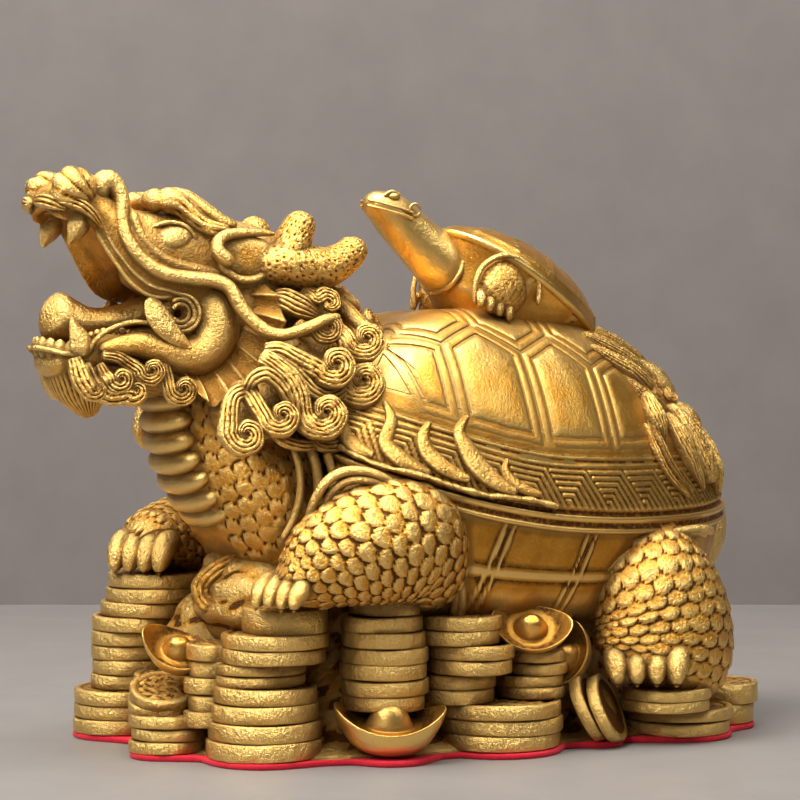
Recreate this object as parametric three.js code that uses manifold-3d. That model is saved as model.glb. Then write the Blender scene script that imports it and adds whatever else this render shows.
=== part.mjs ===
// Dragon turtle figure: a horned, dragon-headed turtle stands on heaped coins and boat-shaped ingots
// and carries a small turtle on its back. It is one brass casting on a glued pad of red felt.
// Millimetres, +Z up. The head faces -Y, the animal's left side is +X, and the origin lies on the
// underside of the felt, on the animal's middle plane.
import * as THREE from "three";
import { mergeVertices } from "three/addons/utils/BufferGeometryUtils.js";
import Module from "manifold-3d";

const wasm = await Module();
wasm.setup();

// Driving sizes
const figureLength = 200; // snout to the back of the heap
const feltThickness = 1.2;
const feltGap = 0.3; // glue line between the felt and the casting
const feltMargin = 0.6; // felt that shows beyond the lowest coins
const finestEdge = 0.25; // shorter edges left by a join are merged
const coinSides = 8;
const coinTaper = 0.7; // how much narrower a coin's lower edge is, which leaves a groove between coins

// The carving is laid out on a figure 200 long, and grows with figureLength.
const share = figureLength / 200;
const seat = feltThickness + feltGap;
const at = (x, y, z) => new THREE.Vector3(x, y, z).multiplyScalar(share);

// Solids from three.js geometry
function solid(geometry) {
  const bare = geometry.index ? geometry.toNonIndexed() : geometry.clone();
  bare.deleteAttribute("normal");
  bare.deleteAttribute("uv");
  const merged = mergeVertices(bare, 1e-4);
  const position = merged.getAttribute("position").array;
  const faces = Array.from(merged.index.array);
  const kept = [];
  for (let i = 0; i < faces.length; i += 3) {
    const [a, b, c] = faces.slice(i, i + 3);
    if (a !== b && b !== c && a !== c) kept.push([a, b, c]);
  }
  const corner = (i) => new THREE.Vector3().fromArray(position, 3 * i);
  const volume = kept.reduce((sum, [a, b, c]) => sum + corner(a).dot(corner(b).cross(corner(c))), 0);
  const turned = kept.flatMap(([a, b, c]) => (volume < 0 ? [a, c, b] : [a, b, c]));
  const mesh = { numProp: 3, vertProperties: new Float32Array(position), triVerts: new Uint32Array(turned) };
  return new wasm.Manifold(new wasm.Mesh({ ...mesh, tolerance: finestEdge }));
}

const join = (solids) => solids.reduce((whole, next) => whole.add(next));
const bothSides = (make) => [1, -1].flatMap((side) => make(side));
const mirrored = (points, side) => points.map(([x, ...rest]) => [x * side, ...rest]);

function geometryOf(made) {
  const mesh = made.getMesh();
  return new THREE.BufferGeometry()
    .setAttribute("position", new THREE.BufferAttribute(new Float32Array(mesh.vertProperties), 3))
    .setIndex(new THREE.BufferAttribute(new Uint32Array(mesh.triVerts), 1));
}

// A closed tube through stations [x, y, z, half width, half height], with a point at each end.
// Each ring of a sphere is moved to one place on the path. "up" is the way the height runs.
function tube(stations, { sides = 8, steps = 1, up = [0, 0, 1], bulge = 0.5 } = {}) {
  const path = new THREE.CatmullRomCurve3(stations.map(([x, y, z]) => at(x, y, z)), false, "catmullrom");
  const sizes = new THREE.SplineCurve(stations.map(([, , , wide, tall]) => new THREE.Vector2(wide, tall ?? wide)));
  const rings = steps * (stations.length - 1);
  const geometry = new THREE.SphereGeometry(1, sides, rings + 2);
  const position = geometry.getAttribute("position");
  const upward = new THREE.Vector3(...up);
  for (let row = 0; row <= rings + 2; row++) {
    const along = THREE.MathUtils.clamp((row - 1) / rings, 0, 1);
    const centre = path.getPoint(along);
    const forward = path.getTangent(along);
    const across = new THREE.Vector3().crossVectors(upward, forward).normalize();
    const over = new THREE.Vector3().crossVectors(forward, across).normalize();
    const size = sizes.getPoint(along).multiplyScalar(share);
    const pole = row === 0 ? -1 : row === rings + 2 ? 1 : 0;
    const reach = pole * bulge * Math.min(size.x, size.y);
    for (let column = 0; column <= sides; column++) {
      const angle = (2 * Math.PI * (column % sides)) / sides;
      const place = centre.clone().addScaledVector(forward, reach);
      if (!pole) place.addScaledVector(across, size.x * Math.cos(angle)).addScaledVector(over, size.y * Math.sin(angle));
      position.setXYZ(row * (sides + 1) + column, place.x, place.y, place.z);
    }
  }
  return solid(geometry);
}

// An ellipsoid with its own radii, turned about X, then Y, then Z in degrees.
function bead(centre, radii, turn = [0, 0, 0], [sides, rings] = [8, 5]) {
  const euler = new THREE.Euler(...turn.map(THREE.MathUtils.degToRad), "ZYX");
  const geometry = new THREE.SphereGeometry(1, sides, rings).rotateX(Math.PI / 2);
  const place = new THREE.Matrix4().compose(
    at(...centre),
    new THREE.Quaternion().setFromEuler(euler),
    new THREE.Vector3(...radii).multiplyScalar(share),
  );
  return solid(geometry.applyMatrix4(place));
}

// Shell: the rim is wavy, high over the front legs and lowest along the sides.
const shell = {
  middleY: 30, // where the top is highest
  crown: 109, // height of the top
  belly: 27, // height of the underside
  lip: 2.2, // thickness of the rim's edge
  columns: 20,
};
const rimHalf = [
  [0, -20, 76], [15, -25, 75.5], [27, -28, 74], [35, -20, 70], [38.8, -7, 65.5], [41, 8, 61.5], [41.6, 25, 58.5],
  [40.6, 43, 57], [37, 60, 56.6], [31, 76, 57], [21, 89, 58], [10, 96, 59], [0, 98, 60],
];
const rim = new THREE.CatmullRomCurve3(
  [...rimHalf, ...mirrored(rimHalf.slice(1, -1).reverse(), -1)].map((p) => new THREE.Vector3(...p)), true, "catmullrom",
);
const rimTable = rim.getPoints(720).map((p) => ({
  angle: Math.atan2(p.x, shell.middleY - p.y),
  radius: Math.hypot(p.x, shell.middleY - p.y),
  height: p.z,
}));

// The rim in one direction from the shell's middle: 0 looks to the head and half a turn to the tail.
function rimToward(angle) {
  const wrapped = Math.atan2(Math.sin(angle), Math.cos(angle));
  return rimTable.reduce((best, p) => (Math.abs(p.angle - wrapped) < Math.abs(best.angle - wrapped) ? p : best));
}

// A point of the shell by direction and by share of the way out to the rim. Below the rim "drop" runs to 1.
function shellAt(angle, reach, { lift = 0, drop = 0 } = {}) {
  const { radius, height } = rimToward(angle);
  const fullness = 2.6 + 1.4 * Math.max(0, Math.cos(angle)) ** 2;
  const above = height + (shell.crown - height) * (1 - reach ** fullness) ** 0.8 + lift;
  const below = THREE.MathUtils.lerp(height - shell.lip, shell.belly, drop);
  const out = reach * radius;
  return at(out * Math.sin(angle), shell.middleY - out * Math.cos(angle), drop ? below : above);
}

// The dome, its lip and the bowl below: one profile of [reach, drop], turned round and stretched to the rim.
function shellBody(lift = 0) {
  const profile = [
    [0, 0], [0.4, 0], [0.62, 0], [0.78, 0], [0.9, 0], [1, 0],
    [1, 1e-6], [0.93, 1e-6], [0.82, 0.35], [0.45, 0.8], [0, 1],
  ];
  const geometry = new THREE.LatheGeometry(profile.map(([reach], i) => new THREE.Vector2(reach, i)), shell.columns);
  const position = geometry.getAttribute("position");
  for (let i = 0; i < position.count; i++) {
    const [reach, drop] = profile[i % profile.length];
    const turn = Math.floor(i / profile.length) % shell.columns;
    const place = shellAt((2 * Math.PI * turn) / shell.columns, reach, { drop, lift: drop ? 0 : lift });
    if (reach === 0) place.setX(0);
    position.setXYZ(i, place.x, place.y, place.z);
  }
  return solid(geometry);
}

// Plates: a row of hexagons along the middle, and one plate down each side between two seams.
const seams = [-18, 2.5, 25, 46, 63, 79]; // places along the shell
const plates = {
  corner: 25.5, // half width of a middle plate at its seam
  waist: 20.5, // half width where two middle plates meet
  foot: 0.89, // share of the way to the rim where the side plates end
  strip: 1.1, // half width of the strip left between plates
  relief: 0.8,
};

// The place at one station along the shell that lies a given share of the way to the rim.
function sideAt(along, reach) {
  let [near, far] = [0, 45];
  for (let i = 0; i < 24; i++) {
    const x = (near + far) / 2;
    const out = Math.hypot(x, shell.middleY - along) / rimToward(Math.atan2(x, shell.middleY - along)).radius;
    if (out < reach) near = x;
    else far = x;
  }
  return [near, along];
}

function plateOutlines() {
  const middles = seams.slice(1, -2).map((along, i) => {
    const [before, after] = [(seams[i] + along) / 2, (along + seams[i + 2]) / 2];
    const half = [[plates.waist, before], [plates.corner, along], [plates.waist, after]];
    return [...half, ...mirrored([...half].reverse(), -1)];
  });
  const flanks = seams.slice(1).flatMap((along, i) => {
    const from = seams[i];
    const middle = (from + along) / 2;
    const foot = [from, middle, along].map((y) => sideAt(y, plates.foot));
    const top = [along, from].map((y) => [Math.min(plates.corner, sideAt(y, 0.75)[0]), y]);
    const neck = [Math.min(plates.waist, sideAt(middle, 0.62)[0]), middle];
    return bothSides((side) => [mirrored([...foot, top[0], neck, top[1]], side)]);
  });
  return [...middles, ...flanks];
}

// Draws an outline in by the strip: each corner moves towards the middle of the plate.
function drawnIn(outline) {
  const sum = outline.reduce(([x, y], [u, v]) => [x + u, y + v], [0, 0]);
  const [cx, cy] = sum.map((total) => total / outline.length);
  return outline.map(([x, y]) => {
    const away = Math.hypot(x - cx, y - cy);
    const kept = 1 - (plates.strip * 1.3) / away;
    return new THREE.Vector2((cx + (x - cx) * kept) * share, (cy + (y - cy) * kept) * share);
  });
}

function shellPlates() {
  const upperDome = shellBody(plates.relief);
  return plateOutlines().map((outline) => {
    const prism = new THREE.ExtrudeGeometry(new THREE.Shape(drawnIn(outline)), { depth: 60 * share, bevelEnabled: false });
    return solid(prism.translate(0, 0, 66 * share)).intersect(upperDome);
  });
}

// Flame tongues along the front of the rim: place along the shell, reach of the tip, width
const flames = [[-17, 0.89, 3], [-6, 0.93, 2.6], [5, 0.88, 3.2], [14, 0.95, 2.2]];
function shellFlames(side) {
  return flames.map(([along, tipReach, wide]) => {
    const stations = [0.98, tipReach].map((reach, i) => {
      const [x, y] = sideAt(along - 1.6 * i, reach);
      const { z } = shellAt(Math.atan2(x, shell.middleY - y), reach);
      return [side * (x + 0.5), y, z / share, i ? 0.6 : wide, i ? 0.8 : 1.8];
    });
    return tube(stations, { sides: 4, up: [side, 0, 0.5] });
  });
}

// Tail: rises behind, and its hair lies in tufts on the back of the shell.
function tail() {
  const root = tube([[0, 84, 40, 9, 9], [0, 93, 46, 7.5, 7], [0, 96, 56, 5, 5], [0, 90, 66, 4, 4]], { sides: 6, up: [1, 0, 0] });
  const spine = tube([[0, 94, 66, 4, 3.5], [0, 83, 81, 4.5, 4], [0, 70, 94, 4, 4], [0, 56, 102, 3, 3]], { sides: 5, up: [1, 0, 0] });
  const tufts = bothSides((side) =>
    [[58, 99, 18], [70, 91, 19], [79, 82, 19], [87, 71, 17]].map(([y, z, x]) =>
      tube([[side * 3, y - 6, z + 5, 4, 3.4], [side * x, y + 4, z - 3, 2.4, 2.4]], { sides: 5, bulge: 0.8 }),
    ),
  );
  return [root, spine, ...tufts];
}

// Legs: the widths are across the limb and the heights are square to it.
const leftArm = [
  [32, 2, 48, 8, 12], [35, -9, 51, 11, 16.5], [35, -19, 51, 12, 16.5], [33, -31, 46.5, 11, 11.5],
  [29, -41, 42.5, 9, 7.5], [27, -47, 41.5, 7.5, 5.5],
];
const rightArm = [
  [-33, -2, 47, 8, 9], [-36, -14, 50, 11, 13], [-36, -26, 51, 12, 13], [-34, -38, 50, 11, 10.5],
  [-31, -49, 47.5, 9, 8], [-29, -56, 46, 8, 6.5],
];
const hindLeg = [
  [22, 62, 46, 11, 14], [31, 65, 40, 12, 16], [35, 67.5, 30, 10.5, 15], [36, 66, 21, 9, 13], [37, 62, 15, 7, 10],
];

// Toes end in claws that hook over what the paw stands on.
function toes(centre, heading, { count = 4, spacing = 4.2, length = 7, drop = 5, thick = 2.5 } = {}) {
  const turn = THREE.MathUtils.degToRad(heading);
  const ahead = [Math.cos(turn), Math.sin(turn)];
  return Array.from({ length: count }, (_, i) => {
    const off = (i - (count - 1) / 2) * spacing;
    const step = (far, down, size) => [
      centre[0] - ahead[1] * off + ahead[0] * far, centre[1] + ahead[0] * off + ahead[1] * far, centre[2] - down, size, size,
    ];
    const curl = [step(0, 0, thick), step(length, drop, thick * 0.5)];
    return tube(curl, { sides: 4, up: [ahead[1], -ahead[0], 0], bulge: 0.8 });
  });
}

function legs() {
  return [
    tube(leftArm, { sides: 8 }),
    tube(rightArm, { sides: 8 }),
    ...bothSides((side) => [tube(mirrored(hindLeg, side), { sides: 8, up: [0, 1, 0] })]),
    ...toes([27, -44, 43], -112, { spacing: 4.4 }),
    ...toes([-27, -55, 47], -100, { spacing: 4.4 }),
    ...toes([41, 57, 23], -32, { spacing: 5.4, drop: 8, length: 5.5, thick: 3 }),
    ...toes([-41, 57, 23], -148, { spacing: 5.4, drop: 8, length: 5.5, thick: 3 }),
  ];
}

// Neck: a thick column from the chest to the skull, with rounded belly plates down its front.
const neck = [
  [0, -18, 48, 25, 17], [0, -31, 56, 26, 19], [0, -41, 67, 24, 20], [0, -48, 79, 21, 18], [0, -50, 92, 17, 15], [0, -46, 104, 15, 13],
];
function neckAndPlates() {
  const plates = [[-37, 49, 15], [-46, 55, 15], [-52.5, 62.5, 14], [-57, 71, 13], [-60, 80, 12], [-61.5, 89, 11]];
  return [
    tube(neck, { sides: 10, up: [0, -1, 0] }),
    ...plates.map(([y, z, half], i) => bead([0, y, z], [half, 6.5, 5.6], [-34 + 5 * i, 0, 0], [8, 4])),
  ];
}

// Head
const skull = [[0, -30, 112, 15, 15], [0, -42, 114, 15.5, 16], [0, -53, 116, 14, 15], [0, -62, 119, 11, 12]];
const snout = [[0, -52, 119, 12, 12], [0, -66, 120.5, 10.5, 11], [0, -75, 124.5, 9.5, 11.5], [0, -83, 129.5, 9, 9], [0, -90, 133, 8, 5.5]];
const jaw = [[0, -42, 96, 14, 9], [0, -58, 97, 12.5, 8], [0, -72, 98.5, 10.5, 5.5], [0, -84, 96.5, 9.5, 5], [0, -92.5, 97.5, 7.5, 4]];
const tongue = [[0, -56, 105, 7, 4], [0, -70, 104.5, 6.5, 3.2], [0, -82, 105, 6, 3.4], [0, -91, 109.5, 3, 2.6]];
const beard = [[0, -86, 96, 8.5, 5], [0, -86, 91, 8, 5], [0, -82, 86.5, 5.5, 3.5], [0, -79, 83.5, 1.5, 1.2]];
const whisker = [
  [8, -76, 133], [10.5, -71, 121], [14, -55, 114], [18, -41, 102.5], [22, -20, 105],
];

function head() {
  const middle = [
    tube(skull, { sides: 8 }), tube(snout, { sides: 8 }), tube(jaw, { sides: 8 }), tube(tongue, { sides: 6 }),
    tube(beard, { sides: 6, up: [0, 1, 0] }),
  ];
  const sides = bothSides((side) => {
    const limb = (stations, options) => tube(mirrored(stations, side), options);
    return [
      bead([side * 10, -50, 103], [8, 11.5, 12.5], [20, 0, 0], [8, 4]), // cheek
      bead([side * 8.5, -63.5, 124.5], [4.5, 6.5, 5.5], [0, 0, 0], [6, 3]), // eye
      limb([[6, -70, 130, 2, 2.4], [9.5, -60, 133.5, 3.6, 3.4], [12, -47, 128.5, 2, 2]], { sides: 4 }), // brow
      bead([side * 5.2, -75.5, 136.5], [4, 4.2, 4.4], [0, 0, 0], [5, 4]), // nostril
      limb([[4, -78, 135.5, 3, 4], [5.5, -85, 136.5, 4.2, 5], [4.5, -93, 134.5, 2, 2.4]], { sides: 4 }), // nose tuft
      limb(whisker.map((place) => [...place, 1.9, 1.9]), { sides: 4 }),
      limb([[7.5, -85, 129, 2.2, 2.6], [7.5, -87.5, 121, 0.6, 0.6]], { sides: 4, up: [0, 1, 0] }), // upper fang
      limb([[8, -85, 97, 2.2, 2.6], [8, -87.5, 106.5, 0.6, 0.6]], { sides: 4, up: [0, 1, 0] }), // lower fang
      limb([[10, -69.5, 110.5, 1, 1], [12.5, -65, 105, 2.4, 3], [11.5, -59, 98, 1.4, 1.4]], { sides: 4, up: [1, 0, 0] }), // tusk
      limb([[11, -51, 120, 3, 4], [15, -44, 121, 3.6, 5.6], [17, -35, 124, 1.2, 2.2]], { sides: 5, up: [0, 1, 1] }), // ear
      limb([[8, -36, 118, 5, 5.2], [12, -23, 119, 5, 5.2], [13.5, -14.5, 123.8, 3.2, 3.2]], { sides: 6 }), // horn
      limb([[11, -31, 121, 4.4, 4.4], [12.5, -28.5, 130, 2.4, 2.4]], { sides: 5, up: [0, 1, 0] }), // its branch
      bead([side * 15, -43, 95], [3, 13, 7], [18, 0, side * 16], [6, 4]), // frill
    ];
  });
  return [...middle, ...sides];
}

// Round knobs of the mane's and beard's locks, on a smooth mass of hair: [x, y, z, radius]
const knobs = [
  [21.5, -52, 79.5, 6.8], [22.5, -42, 83.5, 6.6], [22.5, -31.5, 84.5, 7], [25.5, -20.5, 90, 6.6], [23.5, -30, 95, 6],
  [22, -18, 100.5, 6.2], [17.5, -27, 103.5, 5.8], [11, -15, 109, 6.6], [10.5, -77, 91.5, 5.2], [11, -66, 91.5, 5.2],
  [13, -56.5, 87.5, 5.4],
];
function mane() {
  const knob = (x, y, z, radius) => {
    const disc = new THREE.SphereGeometry(radius * share, 6, 3).rotateZ(Math.PI / 2);
    const place = at(x, y, z);
    return solid(disc.translate(place.x, place.y, place.z));
  };
  return [
    bead([0, -23, 101], [17, 15, 14], [0, 0, 0], [8, 5]),
    ...bothSides((side) => [
      bead([side * 9, -36, 95], [14, 19, 15], [24, 0, 0], [8, 5]),
      ...knobs.map(([x, y, z, radius]) => knob(side * x, y, z, radius)),
    ]),
  ];
}

// Small turtle on the back, tilted with its head up: shell, rim and belly in one turned profile
const small = {
  middle: [0, 38, 117],
  tilt: 31, // degrees, head up
  half: 19, // half width at the rim
  long: 27, // half length at the rim
  profile: [[0, 12], [0.62, 9.6], [0.9, 4], [1, 1], [1, -1.2], [0.84, -3], [0.74, -12], [0, -18]], // [share of the half, height]
};
function smallTurtle() {
  const geometry = new THREE.LatheGeometry(small.profile.map(([reach, high]) => new THREE.Vector2(reach, high)), 12);
  geometry.rotateX(Math.PI / 2).scale(small.half * share, small.long * share, share);
  geometry.rotateX(THREE.MathUtils.degToRad(-small.tilt));
  const middle = at(...small.middle);
  const body = solid(geometry.translate(middle.x, middle.y, middle.z));
  const neckAndHead = tube(
    [[0, 22, 118, 7.5, 8], [0, 10, 122, 5.6, 6.4], [0, 2, 129, 5.2, 5.6], [0, -2.5, 133.2, 4.6, 4.4], [0, -5, 134.5, 2.6, 2]],
    { sides: 8, up: [1, 0, 0] },
  );
  const smallLegs = bothSides((side) => [
    bead([side * 14, 27, 115], [4.5, 6.5, 7], [0, 0, 0], [6, 4]),
    bead([side * 15, 50, 101], [5, 6, 6], [0, 0, 0], [6, 4]),
  ]);
  return [body, neckAndHead, ...smallLegs];
}

// Heap: coins in stacks, boat-shaped ingots and the rough fill between them
// Each stack: x, y of its foot, height of its foot and top, then the radius and sideways shift of its coins.
const stacks = [
  { x: 20, y: -42, foot: 0, top: 37.5, coins: [[14.4, 0], [14.6, 0.4], [14.2, -0.3], [12.2, -0.8], [12, -0.4], [10.8, -1], [10.6, -0.6], [12.8, 1], [13, 1.4], [10.5, 2.6]] },
  { x: 2, y: -60, foot: 0, top: 10.5, coins: [[9.4, 0], [9.2, 0.3], [9.4, -0.2]] },
  { x: -34, y: -55, foot: 0, top: 42, coins: [[13, -2], [13, -1.6], [13, -2], [10.5, 0], [10.5, 0.4], [10.4, 0], [11, 0.6], [12.5, 0.8], [12.6, 1], [12.6, 2.4], [12.4, 3]] },
  { x: 29, y: -15.5, foot: 8, top: 38.5, coins: [[10.3, 0], [10.4, 0.4], [10.6, 0], [10.7, 0.4], [10.4, 0], [9.8, -0.4], [8.8, 0.4]] },
  { x: 31, y: 15, foot: 0, top: 12.8, coins: [[15.8, 0], [15.6, 0.4], [15.8, -0.2]] },
  { x: 30, y: 4, foot: 12.8, top: 34, coins: [[9.5, 0], [9.3, 0.4], [11, 3], [11, 3.4], [11, 0], [10.8, 0.4]] },
  { x: 32, y: 24, foot: 12.8, top: 24.5, coins: [[8.6, 0], [8.4, -0.4], [7.6, 1.4], [7.6, 1.2]] },
  { x: 31, y: 67.5, foot: 0, top: 8, coins: [[14.4, 0], [14.2, 0.4]] },
  { x: 38, y: 60, foot: 8, top: 14, coins: [[11, 0], [11.2, 0.4]] },
  { x: 23, y: 86, foot: 0, top: 12, coins: [[11, -1], [10.2, 1]] },
];
const fartherStacks = [
  { x: -28, y: -20, foot: 0, top: 34, coins: [[13, 0], [12, 0.6], [11, 0.4], [10, 0]] },
  { x: -29, y: 12, foot: 0, top: 24, coins: [[14, 0], [13, 0.6], [10, 0]] },
  { x: -31, y: 40, foot: 0, top: 12, coins: [[13, 0], [12, 0.6]] },
  { x: -32, y: 66, foot: 0, top: 12, coins: [[13, 0], [12, 0.6]] },
  { x: -12, y: 87, foot: 0, top: 10, coins: [[12, 0], [11, 0.6]] },
  { x: -14, y: -51, foot: 0, top: 20, coins: [[12, 0], [11.4, 0.6], [11, 0]] },
];

// One turned profile for the whole stack, two rings to a coin. Each coin is narrower at its foot.
const coinShift = [0.47, 0.88]; // the way in which the coins of a stack are out of line
function coinStack({ x, y, foot, top, coins }) {
  const thickness = (top - foot) / coins.length;
  const profile = coins.flatMap(([radius], i) => [
    new THREE.Vector2(radius - coinTaper, foot + i * thickness), new THREE.Vector2(radius, foot + (i + 1) * thickness),
  ]);
  const closed = [new THREE.Vector2(0, foot), ...profile, new THREE.Vector2(0, top)];
  const geometry = new THREE.LatheGeometry(closed, coinSides);
  const position = geometry.getAttribute("position");
  for (let i = 0; i < position.count; i++) {
    const ring = THREE.MathUtils.clamp((i % closed.length) - 1, 0, profile.length - 1);
    const [, shift] = coins[Math.floor(ring / 2)];
    const turn = (2 * Math.PI * (Math.floor(i / closed.length) % coinSides)) / coinSides;
    const { x: radius, y: level } = closed[i % closed.length];
    const place = at(
      x + shift * coinShift[0] + radius * Math.cos(turn), y + shift * coinShift[1] + radius * Math.sin(turn), level,
    );
    position.setXYZ(i, place.x, place.y, place.z);
  }
  return solid(geometry);
}

// Coins that lean against the heap
function looseCoin([x, y, z], radius, thickness, tilt) {
  const disc = new THREE.CylinderGeometry(radius * share, (radius - coinTaper) * share, thickness * share, coinSides);
  const euler = new THREE.Euler(...tilt.map(THREE.MathUtils.degToRad), "ZYX");
  disc.rotateX(Math.PI / 2).applyMatrix4(new THREE.Matrix4().makeRotationFromEuler(euler));
  const place = at(x, y, z);
  return solid(disc.translate(place.x, place.y, place.z));
}
const looseCoins = [
  [[37, 41, 9.5], 9, 3, [0, 66, -40]],
  [[38.5, 44.5, 9], 9, 3, [0, 66, -40]],
];

// An ingot: a boat with two raised ends and a round hump in the middle. Shares of the half length:
// [reach, height], from the top of the hump down to the keel.
const ingotProfile = [[0, 0.36], [0.26, 0.28], [0.4, 0], [1, 0.06], [0.8, -0.3], [0, -0.42]];
const ingotShape = { width: 0.62, rise: 0.34 }; // shares of the half length
function ingot({ centre, length, turn }) {
  const half = (length / 2) * share;
  const geometry = new THREE.LatheGeometry(ingotProfile.map(([reach], i) => new THREE.Vector2(reach, i)), 8);
  const position = geometry.getAttribute("position");
  for (let i = 0; i < position.count; i++) {
    const [reach, high] = ingotProfile[i % ingotProfile.length];
    const around = (Math.PI / 4) * (Math.floor(i / ingotProfile.length) % 8);
    const along = reach * Math.cos(around);
    const across = reach * Math.sin(around) * ingotShape.width;
    position.setXYZ(i, along * half, across * half, (high + ingotShape.rise * along * along) * half);
  }
  const euler = new THREE.Euler(...turn.map(THREE.MathUtils.degToRad), "ZYX");
  const place = new THREE.Matrix4().makeRotationFromEuler(euler).setPosition(at(...centre));
  return solid(geometry.applyMatrix4(place));
}
const ingots = [
  { centre: [35, -13, 9], length: 27, turn: [26, 0, 66] },
  { centre: [38, 21, 31], length: 19, turn: [38, 8, 60] },
  { centre: [8, -58, 26], length: 19, turn: [40, 18, 55] },
  { centre: [37, 34, 21], length: 19, turn: [30, -50, 70] },
];

// The fill under the belly: a drum with the heap's plan that narrows upwards
const fillPlan = { half: 33, front: -56, back: 86, narrowing: 0.22, top: 36, squareness: 0.72 };
function fill(bottom, top) {
  const { half, front, back, narrowing, squareness } = fillPlan;
  const drum = new THREE.CylinderGeometry(1 - narrowing, 1, 1, 10).rotateX(Math.PI / 2);
  const position = drum.getAttribute("position");
  const squared = (v) => Math.sign(v) * Math.abs(v) ** squareness;
  for (let i = 0; i < position.count; i++) {
    const [u, v, w] = [position.getX(i), position.getY(i), position.getZ(i)];
    const x = half * squared(Math.round(u * 1e6) / 1e6);
    const y = (front + back) / 2 + ((back - front) / 2) * squared(Math.round(v * 1e6) / 1e6);
    position.setXYZ(i, x * share, y * share, w > 0 ? top : bottom);
  }
  return solid(drum);
}

function heap() {
  return [
    bead([2, -38, 38], [20, 15, 13], [0, 0, 0], [8, 5]),
    fill(seat, fillPlan.top * share), ...stacks.map((stack) => coinStack(stack)),
    ...fartherStacks.map((stack) => coinStack(stack)), ...looseCoins.map((coin) => looseCoin(...coin)),
    ...ingots.map(ingot),
  ];
}

// The felt follows the feet of the lowest coins and the fill.
function felt() {
  const feet = [...stacks, ...fartherStacks].filter(({ foot }) => foot === 0);
  const pads = feet.map(({ x, y, coins: [[radius, shift]] }) => {
    const disc = new THREE.CylinderGeometry(radius * share + feltMargin, radius * share + feltMargin, feltThickness, coinSides);
    disc.rotateX(Math.PI / 2);
    return solid(disc.translate((x + shift * coinShift[0]) * share, (y + shift * coinShift[1]) * share, feltThickness / 2));
  });
  return join([fill(0, feltThickness), ...pads]);
}

function figure() {
  const whole = join([
    shellBody(), ...shellPlates(), ...bothSides(shellFlames), ...tail(), ...legs(),
    ...neckAndPlates(), ...head(), ...mane(), ...smallTurtle(), ...heap(),
  ]);
  const below = new THREE.BoxGeometry(600 * share, 600 * share, 100 * share).translate(0, 0, seat - 50 * share);
  return whole.subtract(solid(below));
}

const brass = new THREE.MeshStandardMaterial({ color: 0xc99a3c, metalness: 0.9, roughness: 0.36 });
const redFelt = new THREE.MeshStandardMaterial({ color: 0xd11226, metalness: 0, roughness: 0.9 });

const group = new THREE.Group();
for (const [name, made, material] of [["figure", figure(), brass], ["felt_pad", felt(), redFelt]]) {
  const mesh = new THREE.Mesh(geometryOf(made), material);
  mesh.name = name;
  group.add(mesh);
}
export default group;
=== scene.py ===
# Dragon turtle figure in cast brass on red felt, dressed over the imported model. Lengths here are
# millimetres in the model's own frame: the head faces -Y, the animal's left is +X, +Z is up.
import math
import bpy
import numpy as np
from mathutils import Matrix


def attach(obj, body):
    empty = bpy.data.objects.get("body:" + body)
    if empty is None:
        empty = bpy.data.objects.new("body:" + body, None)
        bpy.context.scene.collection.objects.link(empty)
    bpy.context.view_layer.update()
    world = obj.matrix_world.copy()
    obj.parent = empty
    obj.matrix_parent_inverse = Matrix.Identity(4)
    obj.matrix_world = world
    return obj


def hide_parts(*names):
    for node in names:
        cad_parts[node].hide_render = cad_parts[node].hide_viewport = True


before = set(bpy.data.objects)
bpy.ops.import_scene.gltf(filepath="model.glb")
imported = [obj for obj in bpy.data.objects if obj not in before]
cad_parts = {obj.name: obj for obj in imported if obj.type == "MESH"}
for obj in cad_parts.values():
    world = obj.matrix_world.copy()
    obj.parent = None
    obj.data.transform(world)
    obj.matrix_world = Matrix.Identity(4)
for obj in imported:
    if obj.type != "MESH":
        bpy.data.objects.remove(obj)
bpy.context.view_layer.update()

mm = 0.001
rng = np.random.default_rng(17)
tau = 2 * math.pi

# Curves and grids.

def unit(v):
    return v / np.maximum(np.linalg.norm(v, axis=-1, keepdims=True), 1e-9)


# Angles of a closed ring of columns.
def circle(columns):
    return np.arange(columns) / columns * tau


# A smooth curve through rows of values: between two rows it is the Catmull-Rom cubic of four neighbours.
def throughPoints(stations, count, closed=False):
    p = np.asarray(stations, float)
    p = np.vstack([p[-1:], p, p[:2]]) if closed else np.vstack([2 * p[0] - p[1], p, 2 * p[-1] - p[-2]])
    t = np.linspace(0, len(p) - 3, count, endpoint=not closed)
    i = np.minimum(t.astype(int), len(p) - 4)
    f = (t - i)[:, None]
    a, b, c, d = p[i], p[i + 1], p[i + 2], p[i + 3]
    return 0.5 * (2 * b + (c - a) * f + (2 * a - 5 * b + 4 * c - d) * f**2 + (3 * b - a - 3 * c + d) * f**3)


# The same curve read at given shares of its length, and that length.
def evenly(stations, shares):
    dense = throughPoints(stations, 40 * len(stations))
    run = np.concatenate([[0], np.cumsum(np.linalg.norm(np.diff(dense[:, :3], axis=0), axis=1))])
    at = np.asarray(shares) * run[-1]
    return np.stack([np.interp(at, run, column) for column in dense.T], 1), run[-1]


# Value of a table at fractional row and column places, mixed from the four entries round each.
def tableAt(table, row, column):
    row = np.clip(row, 0, table.shape[0] - 1.001)
    column = np.clip(column, 0, table.shape[1] - 1.001)
    i, j = row.astype(int), column.astype(int)
    f, g = row - i, column - j
    return (table[i, j] * (1 - f) * (1 - g) + table[i + 1, j] * f * (1 - g)
            + table[i, j + 1] * (1 - f) * g + table[i + 1, j + 1] * f * g)


# A smooth step from 0 to 1: 3 t^2 - 2 t^3.
def ramp(x, low, high):
    t = np.clip((x - low) / (high - low), 0, 1)
    return t * t * (3 - 2 * t)


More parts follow.
